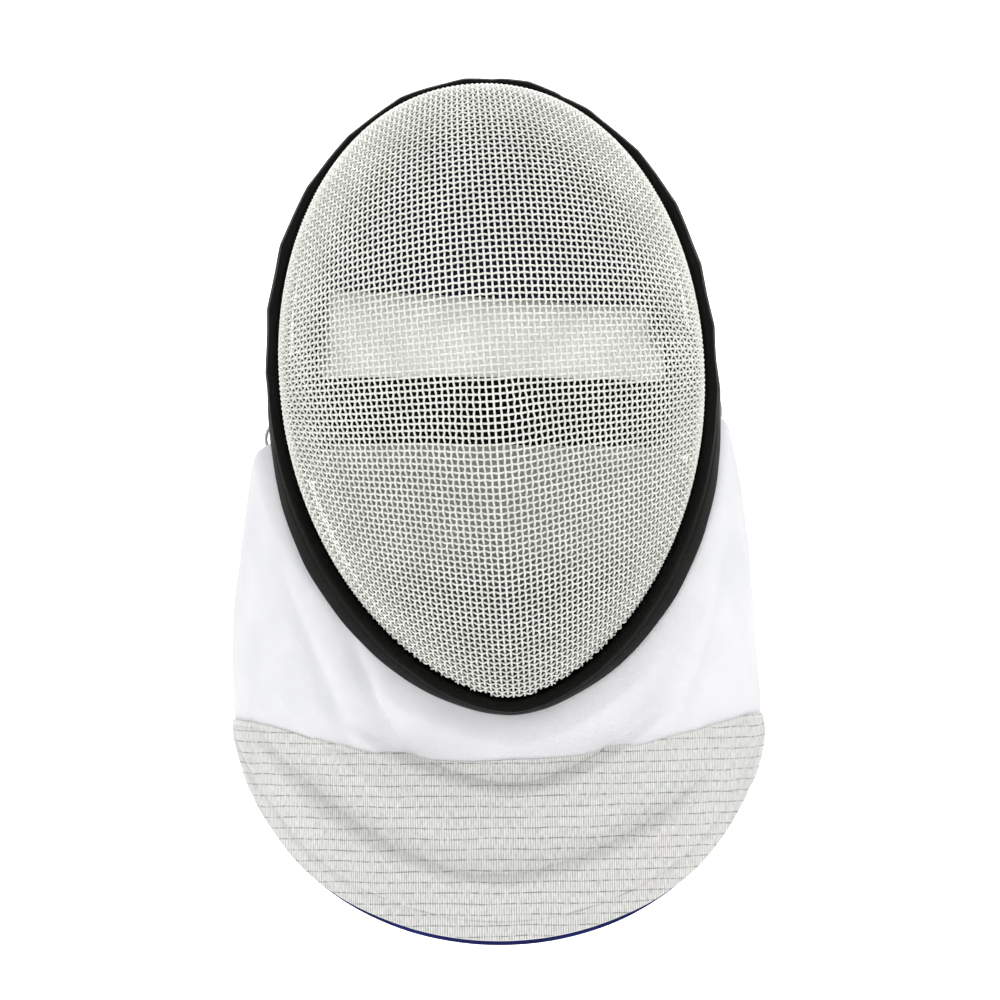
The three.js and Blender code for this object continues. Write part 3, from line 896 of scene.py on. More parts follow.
@dataclass
class Binding:
    """The black binding: a folded tape round the edge, its two legs over the mesh.

    The outer leg thins to the crown leg over the top of the mask. Three sets of waves make its small
    puckers, and its overlap is the place where its ends lie over each other.
    """

    form: MaskForm
    width: float = 14.0
    outer_leg: float = 5.4
    crown_leg: float = 3.0
    inner_leg: float = 2.3
    gap: float = 0.4
    mesh: float = 2.0
    lip: float = -1.0
    outer_round: float = 1.6
    inner_round: float = 1.1
    back_round: float = 2.0
    flange: float = 8.0
    girth: float = 760.0
    pucker: float = 0.2
    waver: float = 0.25
    gather: float = 0.75
    gathers: int = 13
    overlap: float = 0.6
    steps: int = 480

    def profile(self) -> Array:
        """Closed section as distance along the flange and distance out of it.

        It runs over the outer leg's rounded lip, its slightly domed face with a stitched groove, the
        rounded back edge and the inner leg's face and lip, then through the slot that holds the mesh.

        Returns:
            Points of the section, one row each.
        """
        hold = self.mesh / 2 + self.gap
        outer, inner = hold + self.outer_leg, hold + self.inner_leg
        tip = np.radians(np.linspace(-90, 90, 9))
        rise = 0.5 - 0.5 * np.sin(tip)
        outer_lip = np.stack([self.lip + self.outer_round * (1 - np.cos(tip)), mix(outer, hold, rise)], -1)
        inner_lip = np.stack([self.lip + self.inner_round * (1 - np.cos(tip)), -mix(inner, hold, rise)], -1)
        run = np.linspace(0.06, 0.82, 12)
        dome = 0.4 * np.sin(math.pi * run)
        groove = 0.3 * bell(run - 0.2, 0.04)
        place = mix(self.lip + self.outer_round, self.width, run)
        face = np.stack([place, outer + dome - groove], -1)
        within = np.stack([place, -inner - dome * 0.5], -1)
        bend = np.radians(np.linspace(90, -90, 15))
        back = np.stack([self.width - self.back_round * (1 - np.cos(bend) ** 0.7),
                         (outer - inner) / 2 + (outer + inner) / 2 * power(np.sin(bend), 0.6)], -1)
        slot = np.array([[self.flange + self.gap, -hold], [self.flange + self.gap, hold]])
        return np.concatenate([outer_lip, face, back, within[::-1], inner_lip[::-1], slot])

    def build(self, finish: WovenCloth) -> bpy.types.Object:
        """Carry the section round the edge, with small puckers and the overlap of its ends.

        Args:
            finish: The tape's finish.

        Returns:
            The piece.
        """
        turn, side = self.form.round_turns(self.steps)
        edge, _, along, out = self.form.lean(turn, side)
        section = self.profile()
        way = np.arange(len(turn)) / len(turn)
        angle = 2 * math.pi * way
        upper = smooth(np.abs(way - 0.5), 0.16, 0.3)
        swell = self.pucker * ripple(angle, angle, ((19, 0, 0.3), (31, 0, 1.7), (7, 0, 2.2)))
        swell = swell - self.gather * upper * np.abs(np.sin(self.gathers * angle + 0.4)) ** 0.8
        swell = swell + self.overlap * (smooth(way, 0.012, 0.018) - smooth(way, 0.05, 0.056))
        swell = swell[:, None] * smooth(section[:, 1], 1.8, 5.0)[None, :]
        _, level = self.form.outline(turn)
        slim = (self.crown_leg - self.outer_leg) * (1 - smooth(self.form.way(level), 0.03, 0.24))
        hold = self.mesh / 2 + self.gap
        swell = swell + slim[:, None] * np.clip((section[:, 1] - hold) / self.outer_leg, 0, 1)[None, :]
        reach = section[None, :, 0] + self.waver * ripple(angle, angle, ((11, 0, 0.9), (5, 0, 0.1)))[:, None]
        stand = section[None, :, 1] + swell
        points = edge[:, None] + along[:, None] * reach[..., None] + out[:, None] * stand[..., None]
        quads = grid_quads(len(turn), len(section), wrap=True, loop=True)
        flat = points.reshape(-1, 3)
        pattern = np.broadcast_arrays(way[:, None] * self.girth * MM, lengths(section)[None, :] * MM)
        obj = make_object("binding", flat, outward(flat, quads), np.stack(pattern, -1).reshape(-1, 2))
        return dress(obj, finish.make(), "trim_border")


# The bib


@dataclass(frozen=True)
class Fold:
    """A U fold of the bib.

    Attributes:
        down: Share down the bib where its line runs.
        left: Share across where it ends on the left.
        right: Share across where it ends on the right.
        above: Share down over which it deepens.
        depth: Depth in millimetres.
    """

    down: float
    left: float
    right: float
    above: float
    depth: float


@dataclass(frozen=True)
class Dent:
    """A slanting soft dent of the bib.

    Attributes:
        across: Share across of its middle, negative on the left.
        down: Share down of its middle.
        slope: How far it goes down for its way across.
        depth: Depth in millimetres.
    """

    across: float
    down: float
    slope: float
    depth: float


@dataclass(frozen=True)
class Layer:
    """One layer of the bib, between two distances from its middle surface.

    Attributes:
        name: Name of the piece.
        outer: Distance of the outer face.
        inner: Distance of the inner face.
        rows: Steps down.
        banded: Whether it begins at the band's upper edge and not at the binding.
        extra: Millimetres past the hem.
        grooves: Distances from the hem or, if negative, from the upper edge, with depths.
    """

    name: str
    outer: float
    inner: float
    rows: int
    banded: bool = False
    extra: float = 0.0
    grooves: tuple[tuple[float, float], ...] = ()


@dataclass
class Bib:
    """The padded bib, its conductive band and its navy lining, hanging from the binding."""

    form: MaskForm
    thickness: float = 3.0
    half_width: float = 117.5
    corner: float = -269.0
    hem_drop: float = 95.3
    hem_front: float = 64.0
    hem_sweep: float = 84.0
    side_back: float = 4.0
    turn_back: float = 20.0
    ear_standoff: float = 8.0
    ear_skew: float = 2.0
    ear_sweep: float = 8.5
    side_bulge: float = 5.0
    bulge_skew: float = 2.0
    corner_slack: float = 2.6
    slack_angle: float = 65.0
    hang: float = 3.25
    hang_level: float = -150.0
    start: float = 15.8
    lame: float = 1.0
    lining: float = 1.0
    gap: float = 0.4
    lame_chin: float = 0.24
    lame_ear: float = 0.93
    show: float = 1.4
    fold_return: float = 0.045
    columns: int = 251
    folds: tuple[Fold, ...] = (Fold(0.35, 0.56, 0.54, 0.17, 6.5), Fold(0.73, 0.9, 0.74, 0.2, 7.5))
    dents: tuple[Dent, ...] = (Dent(-0.62, 0.3, 1.1, 2.4), Dent(-0.46, 0.2, 1.3, 2.0),
                               Dent(0.66, 0.34, -1.0, 1.9))

    def fold(self, across: Array, down: Array) -> Array:
        """Depth of the folds, inward positive.

        Each U fold deepens evenly down to its line and comes back sharply below it, and fades
        towards its ends; the soft dents of the upper bib are slanting bells; a stitched seam runs
        down each side and a groove along the hem; a fine ripple lies over all.

        Args:
            across: Share across, from minus one at the left ear to one at the right.
            down: Share down, from 0 at the binding to 1 at the hem.

        Returns:
            Millimetres inward.
        """
        reach = np.abs(across)
        dent = np.zeros(np.broadcast(across, down).shape)
        for fold in self.folds:
            away = down - fold.down - 0.01 * np.sin(9 * across + fold.down * 20)
            rise = np.clip(1 + away / fold.above, 0, 1)
            rise = 1.25 * rise - 0.25 * rise ** 5
            back = 1 - smooth(away, 0, self.fold_return)
            ends = np.where(across < 0, fold.left, fold.right)
            dent = dent + fold.depth * (1 - smooth(reach / ends, 0.6, 1)) * np.where(away < 0, rise, back)
        for soft in self.dents:
            line = (down - soft.down) - soft.slope * (across - soft.across)
            near = bell(across - soft.across, 0.16) * bell(down - soft.down, 0.22)
            dent = dent + soft.depth * near * bell(line, 0.07)
        seam = 0.7 * bell(reach - 0.83, 0.018) * smooth(down, 0.25, 0.4)
        hem = (1.0 + 0.7 * smooth(-across, 0.2, 0.7)) * bell(down - 0.92, 0.012)
        small = 0.35 * ripple(across, down, ((21, 9, 0.4), (13, 17, 1.9), (34, 5, 0.8), (8, 31, 2.6)))
        return dent + seam + hem + small * smooth(down, 0, 0.2)

    def middle(self, across: Array, down: Array) -> Array:
        """Middle surface of the bib, straight from the binding to the hem, then folded.

        The upper edge follows the binding from ear to ear, the hem is a half ellipse that comes
        forward in front, and the sides turn back round the neck. The whole hangs straighter than
        the leaning mask by a small turn.

        Args:
            across: Share across, from minus one at the left ear to one at the right.
            down: Share down, from 0 at the binding to 1 at the hem.

        Returns:
            Points, with their coordinates last.
        """
        side = np.where(across < 0, -1.0, 1.0)
        reach = np.abs(across)
        turn = -np.radians(90 - (90 - self.ear_sweep) * reach)
        edge, normal, along, _ = self.form.lean(turn, side)
        stand = (self.ear_standoff - self.ear_skew * side) * smooth(reach, 0.5, 1) * smooth(down, 0, 0.05)
        top = edge + along * self.start + normal * stand[..., None]
        hem_turn = np.radians(self.hem_sweep) * across
        slack = self.corner_slack * bell(np.abs(hem_turn) - math.radians(self.slack_angle), 0.26)
        hem = np.stack([self.half_width * np.sin(hem_turn) - side * slack,
                        mix(self.side_back, -self.hem_front, np.cos(hem_turn) ** 1.2),
                        self.corner - self.hem_drop * np.cos(hem_turn)], -1)
        point = mix(top, hem, down[..., None])
        point[..., 1] += self.turn_back * smooth(reach, 0.8, 1) * smooth(down, 0, 0.6)
        bulge = side * self.side_bulge - self.bulge_skew
        point[..., 0] += bulge * np.sin(math.pi * np.clip(down, 0, 1)) ** 0.7 * smooth(reach, 0.6, 1)
        slip = math.radians(self.hang) * smooth(down, 0, 0.7)
        x, z = point[..., 0].copy(), point[..., 2].copy()
        point[..., 0] = x + (z - self.hang_level) * slip
        point[..., 2] = z - x * slip
        dent = self.fold(across, down)
        facing = np.radians(55) * across
        point[..., 0] -= dent * np.sin(facing)
        point[..., 1] += dent * np.cos(facing)
        return point

    def level(self, across: Array) -> Array:
        """Share down the bib where the band begins."""
        return mix(self.lame_chin, self.lame_ear, np.abs(across) ** 1.7)

    def pattern(self, face: Array) -> Array:
        """Pattern coordinates of a face: U goes round the bib as round a tube and V goes up it.

        U is the radius times the arcsine of x over the radius, so that ribs stay straight over the
        folds, and both are turned by the angle at which the bib hangs.

        Args:
            face: Points of the face.

        Returns:
            Pairs of coordinates in metres.
        """
        slant = math.tan(math.radians(self.hang))
        upright = face[..., 0] - (face[..., 2] - self.hang_level) * slant
        radius = self.half_width + self.side_bulge + self.bulge_skew
        around = radius * np.arcsin(np.clip(upright / radius, -1, 1))
        return np.stack([around, face[..., 2] + face[..., 0] * slant], -1).reshape(-1, 2) * MM

    def sheet(self, layer: Layer) -> tuple[bpy.types.Object, tuple[float, float], float]:
        """Cut one layer of the bib, offset from the middle surface along its normal.

        Args:
            layer: Which faces, steps and grooves it has.

        Returns:
            The object, the layer's greatest width and length, and its area, in metres.
        """
        steps = eased_steps(layer.rows, 4, 0.012)[:, None]
        across = np.broadcast_to(np.linspace(-1, 1, self.columns)[None, :], (len(steps), self.columns))
        begin = self.level(across) if layer.banded else 0 * across
        down = begin + (1 + layer.extra / self.hem_drop - begin) * steps
        middle = self.middle(across, down)
        near = 0.003
        right, left = np.clip(across + near, -1, 1), np.clip(across - near, -1, 1)
        over = self.middle(right, down) - self.middle(left, down)
        fall = self.middle(across, down + near) - self.middle(across, down - near)
        normal = unit(np.cross(fall, over))
        run, wide = lengths(middle, axis=0), lengths(middle, axis=1)
        wall = layer.outer - layer.inner
        rim = np.minimum(edge_share(run, run[-1:], wall * 0.6), edge_share(wide, wide[:, -1:], wall * 0.6))
        centre, half = (layer.outer + layer.inner) / 2, wall / 2 * rim
        press = np.zeros_like(run)
        for place, depth in layer.grooves:
            press = press + depth * bell(run[-1:] - run - place if place > 0 else run + place, 0.7)
        front = middle + normal * (centre + half - press)[..., None]
        points, quads = closed_sheet(front, middle + normal * (centre - half)[..., None])
        uv = self.pattern(front)
        obj = make_object(layer.name, points, quads, np.concatenate([uv, uv]))
        cross = np.cross(np.diff(middle, axis=0)[:, :-1], np.diff(middle, axis=1)[:-1])
        area = float(np.linalg.norm(cross, axis=-1).sum()) * MM * MM
        return obj, (float(wide.max()) * MM, float(run[-1].max()) * MM), area

    def build(self, white: WovenCloth, lame: ConductiveCloth, navy: WovenCloth) -> list[bpy.types.Object]:
        """Args:
            white: Finish of the bib's cloth.
            lame: Finish of the conductive band.
            navy: Finish of the lining.

        Returns:
            The three pieces.
        """
        half = self.thickness / 2
        over = half + self.gap
        cloth = Layer("bib_cloth", half, -half, 104)
        band = Layer("conductive_band", over + self.lame, over, 96, banded=True,
                     grooves=((7.5, 0.5), (1.6, 0.25), (-2.4, 0.4)))
        lining = Layer("navy_lining", -over, -over - self.lining, 80, extra=self.show)
        made = []
        for layer, finish, slot, node, carrier in (
            (cloth, white, Slot.WHITE, "bib", "binding"),
            (band, lame, Slot.LAME, "lame_band", "bib_cloth"),
            (lining, navy, Slot.NAVY, "bib_lining", "binding"),
        ):
            obj, (wide, tall), area = self.sheet(layer)
            dress(obj, finish.make(), node)
            tall = max(tall, area / wide)
            LOG.info("%s: flat %.3f x %.3f m, area %.4f m2", obj.name, wide, tall, area)
            made.append(obj)
        return made


# The padding inside


@dataclass
class Padding:
    """Crown liner, forehead pad and chin pad, as padded cloth with sewn edges."""

    form: MaskForm
    liner_thickness: float = 5.0
    liner_half: float = 83.8
    liner_front: float = 102.0
    liner_drop: float = 84.0
    liner_ear_drop: float = 26.0
    liner_ear: tuple[float, float] = (57.0, 63.0)
    liner_lift: float = 6.0
    liner_edge: float = 3.9
    liner_sweep: float = 80.0
    liner_climb: float = 87.0
    pad_thickness: float = 11.0
    pad_half: float = 78.5
    pad_front: float = 112.0
    pad_top: float = -78.0
    pad_fold: float = -93.5
    pad_bottom: float = -118.5
    pad_sweep: float = 83.0
    pad_length: float = 170.0
    pad_edge: float = 6.0
    tuck: float = 1.0
    top_tilt: float = 7.1
    slot_tilt: float = 4.4
    chin_thickness: float = 8.0
    chin_top: float = -148.0
    chin_bottom: float = -254.5
    chin_sweep: float = 84.0
    chin_corner: float = 26.0
    chin_standoff: float = 20.0
    chin_side_gap: float = 3.7
    chin_size: tuple[float, float] = (180.0, 90.0)
    chin_edge: float = 4.5
    # Heights and side turns over which painted shade darkens the pad.
    chin_painted_shade_levels: tuple[float, float] = (186.0, 214.0)
    chin_painted_shade_sides: tuple[float, float] = (52.0, 72.0)

    def crown(self, finish: WovenCloth) -> bpy.types.Object:
        """Dome of the crown liner: an ellipse swung round the head and raised to the top.

        Its faces swell between the seams that run over the crown, and its half width at each height
        is the outline's, less a margin. Its lower edge slants and drops at the ears.

        Args:
            finish: The liner's finish.

        Returns:
            The piece.
        """
        climb = np.radians(self.liner_climb) * eased_steps(50, 3, 0.02)[:, None]
        swing = np.radians(self.liner_sweep) * (2 * eased_steps(96, 3, 0.01)[None, :] - 1)
        climb, swing = np.broadcast_arrays(climb, swing)
        rows, columns = climb.shape
        rim = np.minimum(edge_share(np.arange(rows)[:, None], rows - 1, 4),
                         edge_share(np.arange(columns)[None, :], columns - 1, 4))
        seam = np.abs(np.sin(swing * 2.5)) ** 0.35
        ear = smooth(np.abs(swing), *np.radians(self.liner_ear))
        across = np.sin(swing) / math.sin(math.radians(self.liner_sweep))
        tilt = -math.tan(math.radians(self.top_tilt)) * self.liner_half * across * (1 - ear)

        def face(grow: Array) -> Array:
            """One face of the dome.

            Args:
                grow: Distance outward from the inner face.

            Returns:
                Points, with their coordinates last.
            """
            share = grow / self.liner_thickness
            lift = self.liner_lift * share * smooth(climb, math.radians(50), math.radians(80))
            z = (self.liner_drop + grow) * np.sin(climb) - self.liner_drop + lift
            z = z + (tilt - self.liner_ear_drop * ear) * (1 - np.sin(climb)) ** 2
            half = self.form.half_at(z) - self.liner_edge - self.liner_thickness * (1 - share)
            depth = (self.liner_front + grow) * np.cos(swing) * np.cos(climb) ** 0.9
            return np.stack([half * across, -depth, z], -1)

        half = self.liner_thickness / 2
        thick = half * rim * mix(0.72, 1.0, seam)
        points, quads = closed_sheet(face(half + thick), face(half - thick))
        uv = np.stack([swing * 0.09, climb * 0.09], -1).reshape(-1, 2)
        obj = make_object("crown_pad", points, quads, np.concatenate([uv, uv]))
        dress(obj, finish.make(), "crown_liner")
        return obj

    def forehead(self, finish: WovenCloth) -> bpy.types.Object:
        """Forehead band: a squared round section carried on an ellipse across the brow.

        The section's top is drawn up into a thin flap that reaches behind the liner's edge, its front greyed
        by painted shade of the recess. The band narrows at its ends, and its level falls by a slant that
        grows from the slot to the top.

        Args:
            finish: The pad's finish.

        Returns:
            The piece.
        """
        spin = np.linspace(-math.pi, math.pi, 33)[:-1]
        level, tall = (self.pad_fold + self.pad_bottom) / 2, (self.pad_fold - self.pad_bottom) / 2
        deep = self.pad_thickness / 2
        inward = deep - deep * power(np.cos(spin), 0.6)
        height = level + tall * power(np.sin(spin), 0.55)
        up = smooth(height, self.pad_fold - 4, self.pad_fold)
        body = np.clip((height - self.pad_bottom) / (self.pad_fold - self.pad_bottom), 0, 1)
        slope = np.tan(np.radians(mix(self.slot_tilt, self.top_tilt, body)))
        inward = inward * (1 - 0.77 * up)
        height = height + up * (self.pad_top - self.pad_fold)
        share = eased_steps(110, 6, 0.03)[:, None]
        swing = np.radians(self.pad_sweep) * (2 * share - 1)
        end = np.maximum(edge_share(share * self.pad_length, self.pad_length, self.pad_edge), 0.25)
        pull = 1 + 0.05 * ripple(share * 40, share * 0, ((1, 0, 0.3), (1.7, 0, 2.0)))
        centre = height.mean()
        inward = deep + (inward[None, :] - deep) * end * pull
        height = centre + (height[None, :] - centre) * mix(0.8, 1.0, end)
        half = mix(self.pad_half, self.liner_half - self.tuck, up)
        front = mix(self.pad_front, self.liner_front - self.tuck, up)
        x = (half - inward) * np.sin(swing)
        points = np.stack([x, -(front - inward) * np.cos(swing), height - x * slope], -1)
        rows, columns = points.shape[:2]
        flat = points.reshape(-1, 3)
        loose = grid_quads(rows, columns, wrap=True)
        quads = outward(flat, loose)
        turned = 1 if np.array_equal(quads, loose) else -1
        first = np.arange(columns)
        caps = np.stack([first[::turned], (rows - 1) * columns + first[::-turned]])
        uv = np.stack(np.broadcast_arrays(swing * 0.09, spin[None, :] * 0.008), -1).reshape(-1, 2)
        # Painted shade: the flap's front, where it tucks back under the liner, is greyed.
        flap_painted_shade = np.broadcast_to(up * smooth(np.cos(spin), -0.3, 0.3), (rows, columns))
        obj = make_object("brow_pad", flat, quads, uv, caps=caps, dark=flap_painted_shade)
        dress(obj, finish.make(), "forehead_pad")
        return obj

    def chin(self, finish: WovenCloth) -> bpy.types.Object:
        """Chin pad: level curves inside the mesh, from the eye slot down to the chin.

        Each curve is part of an ellipse from the crease round to the mesh's edge. The faces puff by a
        fine ripple, the top corners are cut back and the lower part and the sides get painted shade.

        Args:
            finish: The pad's finish.

        Returns:
            The piece.
        """
        share, across = np.broadcast_arrays(eased_steps(60, 4, 0.02)[:, None],
                                            eased_steps(90, 4, 0.012)[None, :])
        z = mix(self.chin_top, self.chin_bottom, share)
        fall = (self.form.widest - z) / self.form.drop
        tip = np.full_like(z, self.form.widest - self.form.drop)
        front = self.form.surface(np.full_like(z, 1e-6), tip, fall)[..., 1] + self.chin_standoff
        back = np.maximum(self.form.edge_depth(z), front + 6)
        corner = self.chin_corner * (1 - smooth(share, 0, 0.09))
        swing = np.radians(self.chin_sweep - corner) * (2 * across - 1)
        wide, tall = self.chin_size
        rim = np.minimum(edge_share(share * tall, tall, self.chin_edge),
                         edge_share(across * wide, wide, self.chin_edge))
        puff = 0.5 * ripple(across * 6, share * 4, ((3, 2, 0.1), (5, 1, 1.1), (2, 6, 2.3)))

        def face(inward: Array) -> Array:
            """One face of the pad.

            Args:
                inward: Distance inward from the outer face.

            Returns:
                Points, with their coordinates last.
            """
            x = (self.form.half_at(z) - self.chin_side_gap - inward) * np.sin(swing)
            level = z - x * math.tan(math.radians(self.slot_tilt)) * (1 - share) ** 2
            return np.stack([x, mix(back, front, np.cos(swing)) + inward, level], -1)

        mid = self.chin_thickness / 2
        thick = mid * rim
        points, quads = closed_sheet(face(mid - thick - puff * rim * 0.6), face(mid + thick))
        uv = np.stack([swing * 0.08, z * MM], -1).reshape(-1, 2)
        # Painted shade: darker towards the chin and at the sides, deep inside the mask.
        sides = smooth(np.abs(swing), *np.radians(self.chin_painted_shade_sides))
        dark = np.maximum(smooth(-z, *self.chin_painted_shade_levels), 0.8 * sides)
        obj = make_object("jaw_pad", points, quads, np.concatenate([uv, uv]),
                          dark=np.concatenate([dark.ravel(), dark.ravel()]))
        dress(obj, finish.make(), "chin_pad")
        return obj


# Strap and rings


@dataclass(frozen=True)
class Ring:
    """One strap ring.

    Attributes:
        name: Name of the piece.
        node: Name of its solid.
        side: Minus one on the left and one on the right.
        lean: Degrees by which it leans back from the side.
        back: Depth of its middle.
    """

    name: str
    node: str
    side: float
    lean: float
    back: float


@dataclass
class Fastening:
    """The elastic at the back and the two wire rings at the ears."""

    width: float = 56.0
    thickness: float = 2.0
    level: float = -129.0
    back: float = 98.0
    half: float = 90.0
    sweep: float = 99.2
    length: float = 340.0
    edge: float = 1.4
    rib_pitch: float = 4.0
    rib_height: float = 0.12
    radius: float = 7.0
    wire: float = 1.6
    ring_level: float = -138.0
    ring_out: float = 97.4
    rings: tuple[Ring, ...] = (Ring("ear_ring_left", "strap_ring_left", -1.0, 42.0, -11.01),
                               Ring("ear_ring_right", "strap_ring_right", 1.0, 60.0, -9.01))

    def strap(self, finish: WovenCloth) -> bpy.types.Object:
        """The elastic: a band on a half ellipse behind the head, its edges rounded, with level ribs.

        Args:
            finish: The elastic's finish.

        Returns:
            The piece.
        """
        up, share = np.broadcast_arrays(eased_steps(24, 3, 0.02)[:, None],
                                        eased_steps(160, 3, 0.004)[None, :])
        swing = np.radians(self.sweep) * (2 * share - 1)
        rim = np.minimum(edge_share(up * self.width, self.width, self.edge),
                         edge_share(share * self.length, self.length, self.edge))
        wave = self.rib_height * np.sin(up * self.width * 2 * math.pi / self.rib_pitch)
        z = self.level + (up - 0.5) * self.width

        def face(inward: Array) -> Array:
            """One face of the band.

            Args:
                inward: Distance inward from the outer face.

            Returns:
                Points, with their coordinates last.
            """
            x, y = (self.half - inward) * np.sin(swing), (self.back - inward) * np.cos(swing)
            return np.stack([x, y, z], -1)

        mid = self.thickness / 2
        wall = (mid - 0.15) * rim
        points, quads = closed_sheet(face(mid - wall + wave), face(mid + wall + wave))
        run = lengths(face(np.full(up.shape, mid))[len(up) // 2])
        uv = np.stack([np.broadcast_to(run * MM, up.shape), z * MM], -1).reshape(-1, 2)
        obj = make_object("elastic_strap", points, quads, np.concatenate([uv, uv]))
        dress(obj, finish.make(), "back_strap")
        return obj

    def ring(self, ring: Ring, material: bpy.types.Material) -> bpy.types.Object:
        """A ring of round wire: a circle carried round a circle, leaning back from the ear.

        Args:
            ring: Which ring.
            material: The wire's finish.

        Returns:
            The piece.
        """
        turn = np.linspace(0, 2 * math.pi, 49)[:-1][:, None]
        spin = np.linspace(0, 2 * math.pi, 13)[:-1][None, :]
        lean = math.radians(ring.lean)
        away = np.stack(np.broadcast_arrays(ring.side * math.cos(lean) * np.cos(turn),
                                            math.sin(lean) * np.cos(turn), np.sin(turn)), -1)
        cross = np.array([-ring.side * math.sin(lean), math.cos(lean), 0.0])
        centre = np.array([ring.side * self.ring_out, ring.back, self.ring_level])
        points = centre + away * (self.radius + self.wire / 2 * np.cos(spin))[..., None] \
            + cross * (self.wire / 2 * np.sin(spin))[..., None]
        flat = points.reshape(-1, 3)
        quads = grid_quads(turn.shape[0], spin.shape[1], wrap=True, loop=True)
        obj = make_object(ring.name, flat, outward(flat, quads))
        return dress(obj, material, ring.node)

    def build(self, elastic: WovenCloth, metal: BentWire) -> list[bpy.types.Object]:
        """Make the strap and both rings.

        Args:
            elastic: The strap's finish.
            metal: The rings' finish.

        Returns:
            The three pieces.
        """
        material = metal.make()
        return [self.strap(elastic)] + [self.ring(ring, material) for ring in self.rings]


# Room, light and camera


@dataclass(frozen=True)
class Lamp:
    """A soft square lamp.

    Attributes:
        name: Name of the lamp.
        place: Where it hangs, in metres.
        aim: The point that it faces.
        size: Length of its side.
        power: Watts.
    """

    name: str
    place: tuple[float, float, float]
    aim: tuple[float, float, float]
    size: float
    power: float


@dataclass
class Studio:
    """Pale floor that sweeps up behind, soft light and the camera of the photograph, in metres."""

    distance: float = 3.0
    eye: float = -0.1716
    shift: float = -0.0002
    lens: float = 241.5
    sensor: float = 36.0
    roll: float = 3.9
    floor: float = -0.47
    floor_front: float = -4.5
    floor_back: float = 3.6
    floor_bend: float = 0.9
    wall_height: float = 4.2
    half_width: float = 5.0
    room_light: float = 0.36
    face: tuple[float, float, float] = (0.0, -0.05, -0.17)
    middle: tuple[float, float, float] = (0.0, -0.05, -0.2)
    backdrop: tuple[float, float, float] = (0.0, 4.0, -0.1)

    def lamps(self) -> tuple[Lamp, ...]:
        """The lamps: two before the face, one at each side, one above and one for the backdrop."""
        return (
            Lamp("front", (-0.3, -3.0, 0.25), self.face, 0.9, 9.0),
            Lamp("key", (0.5, -1.9, 1.1), self.face, 1.2, 9.8),
            Lamp("left", (-2.2, -0.6, 0.2), self.middle, 1.2, 14.0),
            Lamp("right", (2.2, -0.6, 0.2), self.middle, 1.2, 9.0),
            Lamp("top", (0.2, -0.6, 1.5), self.middle, 1.2, 11.4),
            Lamp("wall", (0.0, 2.6, 2.3), self.backdrop, 2.8, 210.0),
        )

    def sweep(self) -> bpy.types.Object:
        """A floor whose far end bends up into a wall by a quarter circle.

        Returns:
            The floor.
        """
        bend = np.linspace(0, math.pi / 2, 24)
        back = self.floor_back + self.floor_bend
        y = np.concatenate([[self.floor_front], self.floor_back + self.floor_bend * np.sin(bend), [back]])
        z = np.concatenate([[0], self.floor_bend * (1 - np.cos(bend)), [self.wall_height]]) + self.floor
        x = np.array([-self.half_width, self.half_width])
        points = np.stack(np.broadcast_arrays(x[None, :], y[:, None], z[:, None]), -1).reshape(-1, 3) / MM
        obj = make_object("floor_sweep", points, grid_quads(len(y), 2)[:, ::-1], rides=False)
        obj.data.materials.append(MattPaper().make())
        return obj

    def hang(self, lamp: Lamp) -> bpy.types.Object:
        """Hang a lamp, turned so that it faces its aim.

        Args:
            lamp: Which lamp.

        Returns:
            The lamp's object.
        """
        light = bpy.data.lights.new(lamp.name, "AREA")
        light.shape, light.size, light.energy = "SQUARE", lamp.size, lamp.power
        obj = bpy.data.objects.new(lamp.name, light)
        bpy.context.scene.collection.objects.link(obj)
        obj.location = lamp.place
        x, y, z = np.array(lamp.aim) - np.array(lamp.place)
        obj.rotation_euler = (math.atan2(math.hypot(x, y), -z), 0.0, math.atan2(-x, y))
        return obj

    def camera(self) -> bpy.types.Object:
        """The camera, straight before the face and rolled as the photograph is.

        Returns:
            The camera's object.
        """
        camera = bpy.data.cameras.new("camera")
        camera.lens, camera.sensor_width = self.lens, self.sensor
        obj = bpy.data.objects.new("camera", camera)
        bpy.context.scene.collection.objects.link(obj)
        obj.location = (self.shift, -self.distance, self.eye)
        obj.rotation_euler = (math.pi / 2, math.radians(self.roll), 0.0)
        return obj

    def build(self) -> None:
        """Set up the room."""
        self.sweep()
        for lamp in self.lamps():
            self.hang(lamp)
        world = bpy.data.worlds.new("soft_room")
        world.use_nodes = True
        background = world.node_tree.nodes["Background"]
        background.inputs[0].default_value = tint("#FFFFFF")
        background.inputs[1].default_value = self.room_light
        scene = bpy.context.scene
        scene.world = world
        scene.camera = self.camera()
        scene.view_settings.view_transform = "Standard"


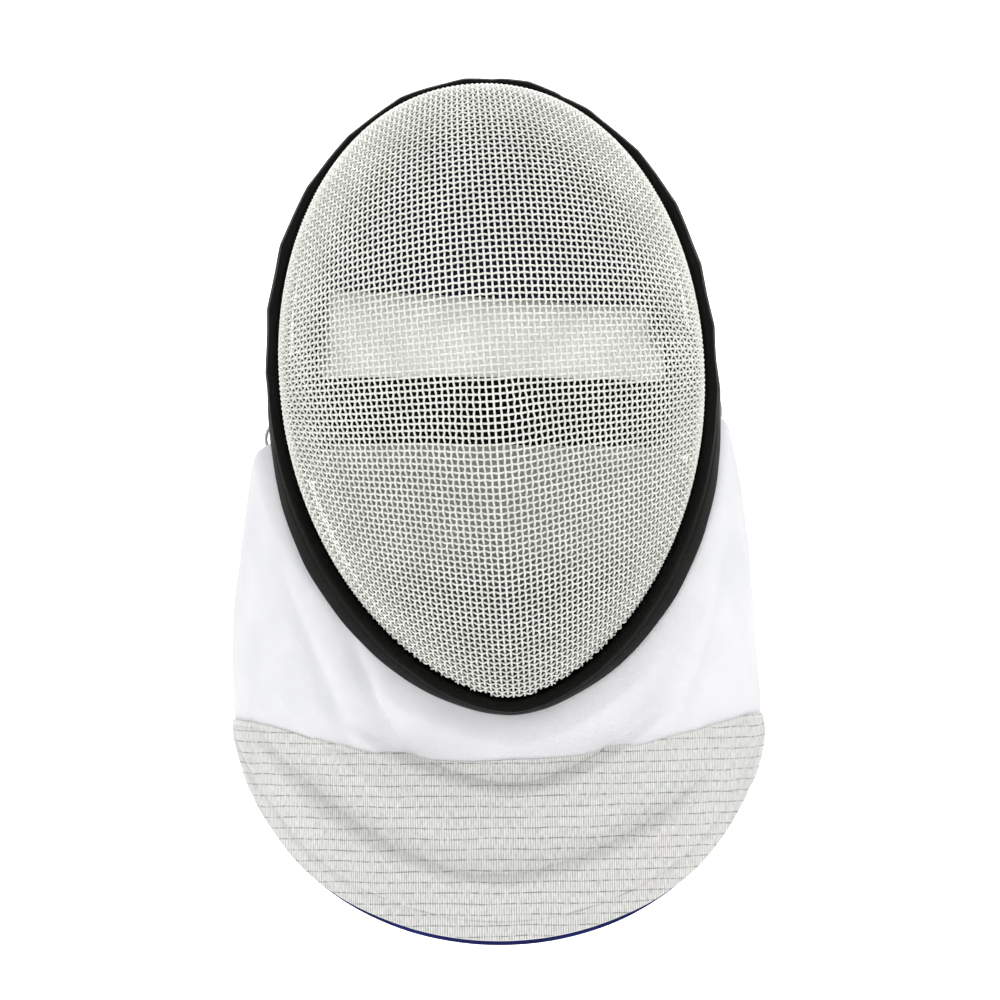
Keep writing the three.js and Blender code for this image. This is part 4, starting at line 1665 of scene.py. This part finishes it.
def report(pieces: list[bpy.types.Object]) -> None:
    """Log each piece with its count of faces."""
    for piece in pieces:
        LOG.info("%s: %d faces", piece.name, len(piece.data.polygons))


def main() -> None:
    """Build the mask and its room."""
    logging.basicConfig(level=logging.INFO, format="%(message)s")
    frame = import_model()
    LOG.info("solids in the frame: %d", len(frame["nodes"]))
    form = MaskForm()
    # Dense woven cotton and polyester twill, bleached: matt, cool white, with a faint thread.
    white = WovenCloth("bleached_cotton_twill", "#F2F2F5", "#E9EAEE", thread_mm=1.1)
    # Dyed polyester twill: deep blue without sheen.
    navy = WovenCloth("dyed_polyester_twill", "#20286A", "#181E50", sheen=0.0, gloss=0.2)
    # Brushed polyester fleece, dyed: nearly black and quite matt, as it lies in the shade of the mesh.
    liner = WovenCloth("brushed_dark_fleece", "#171A30", "#0E1020", thread_mm=1.4, sheen=0.0, gloss=0.1)
    # Looped cotton terry over foam: bright and soft, with painted shade where the flap goes back under the
    # liner.
    pad = WovenCloth("looped_cotton_terry", "#FAFAF8", "#EFEFEC", thread_mm=1.3, sheen=0.3,
                     painted_shade_colour="#C4C4C1")
    # Brushed polyester fleece: a dull grey-white, partly its own colour and partly painted shade of the mesh
    # before it, with deeper painted shade down in the chin and at the sides.
    chin = WovenCloth("brushed_pale_fleece", "#9B9C99", "#868784", thread_mm=1.3, sheen=0.1, gloss=0.2,
                      painted_shade_colour="#3C3D40")
    # Coated polyester tape, folded and pressed: black with a low, even gloss.
    tape = WovenCloth("coated_polyester_tape", "#11120F", "#0C0E0A", thread_mm=1.0, roughness=0.5, sheen=0.0,
                      gloss=0.07)
    # Knitted elastic with level ribs: dull black.
    elastic = WovenCloth("knitted_ribbed_elastic", "#0E0E0E", "#080808", thread_mm=1.6, rib=0.5, sheen=0.0,
                         gloss=0.12)
    padding = Padding(form)
    report(WovenMesh(form).build(CoatedWire()))
    report([Binding(form).build(tape)])
    report(Bib(form).build(white, ConductiveCloth(), navy))
    report([padding.crown(liner), padding.forehead(pad), padding.chin(chin)])
    report(Fastening().build(elastic, BentWire()))
    Studio().build()


if __name__ == "__main__":
    main()
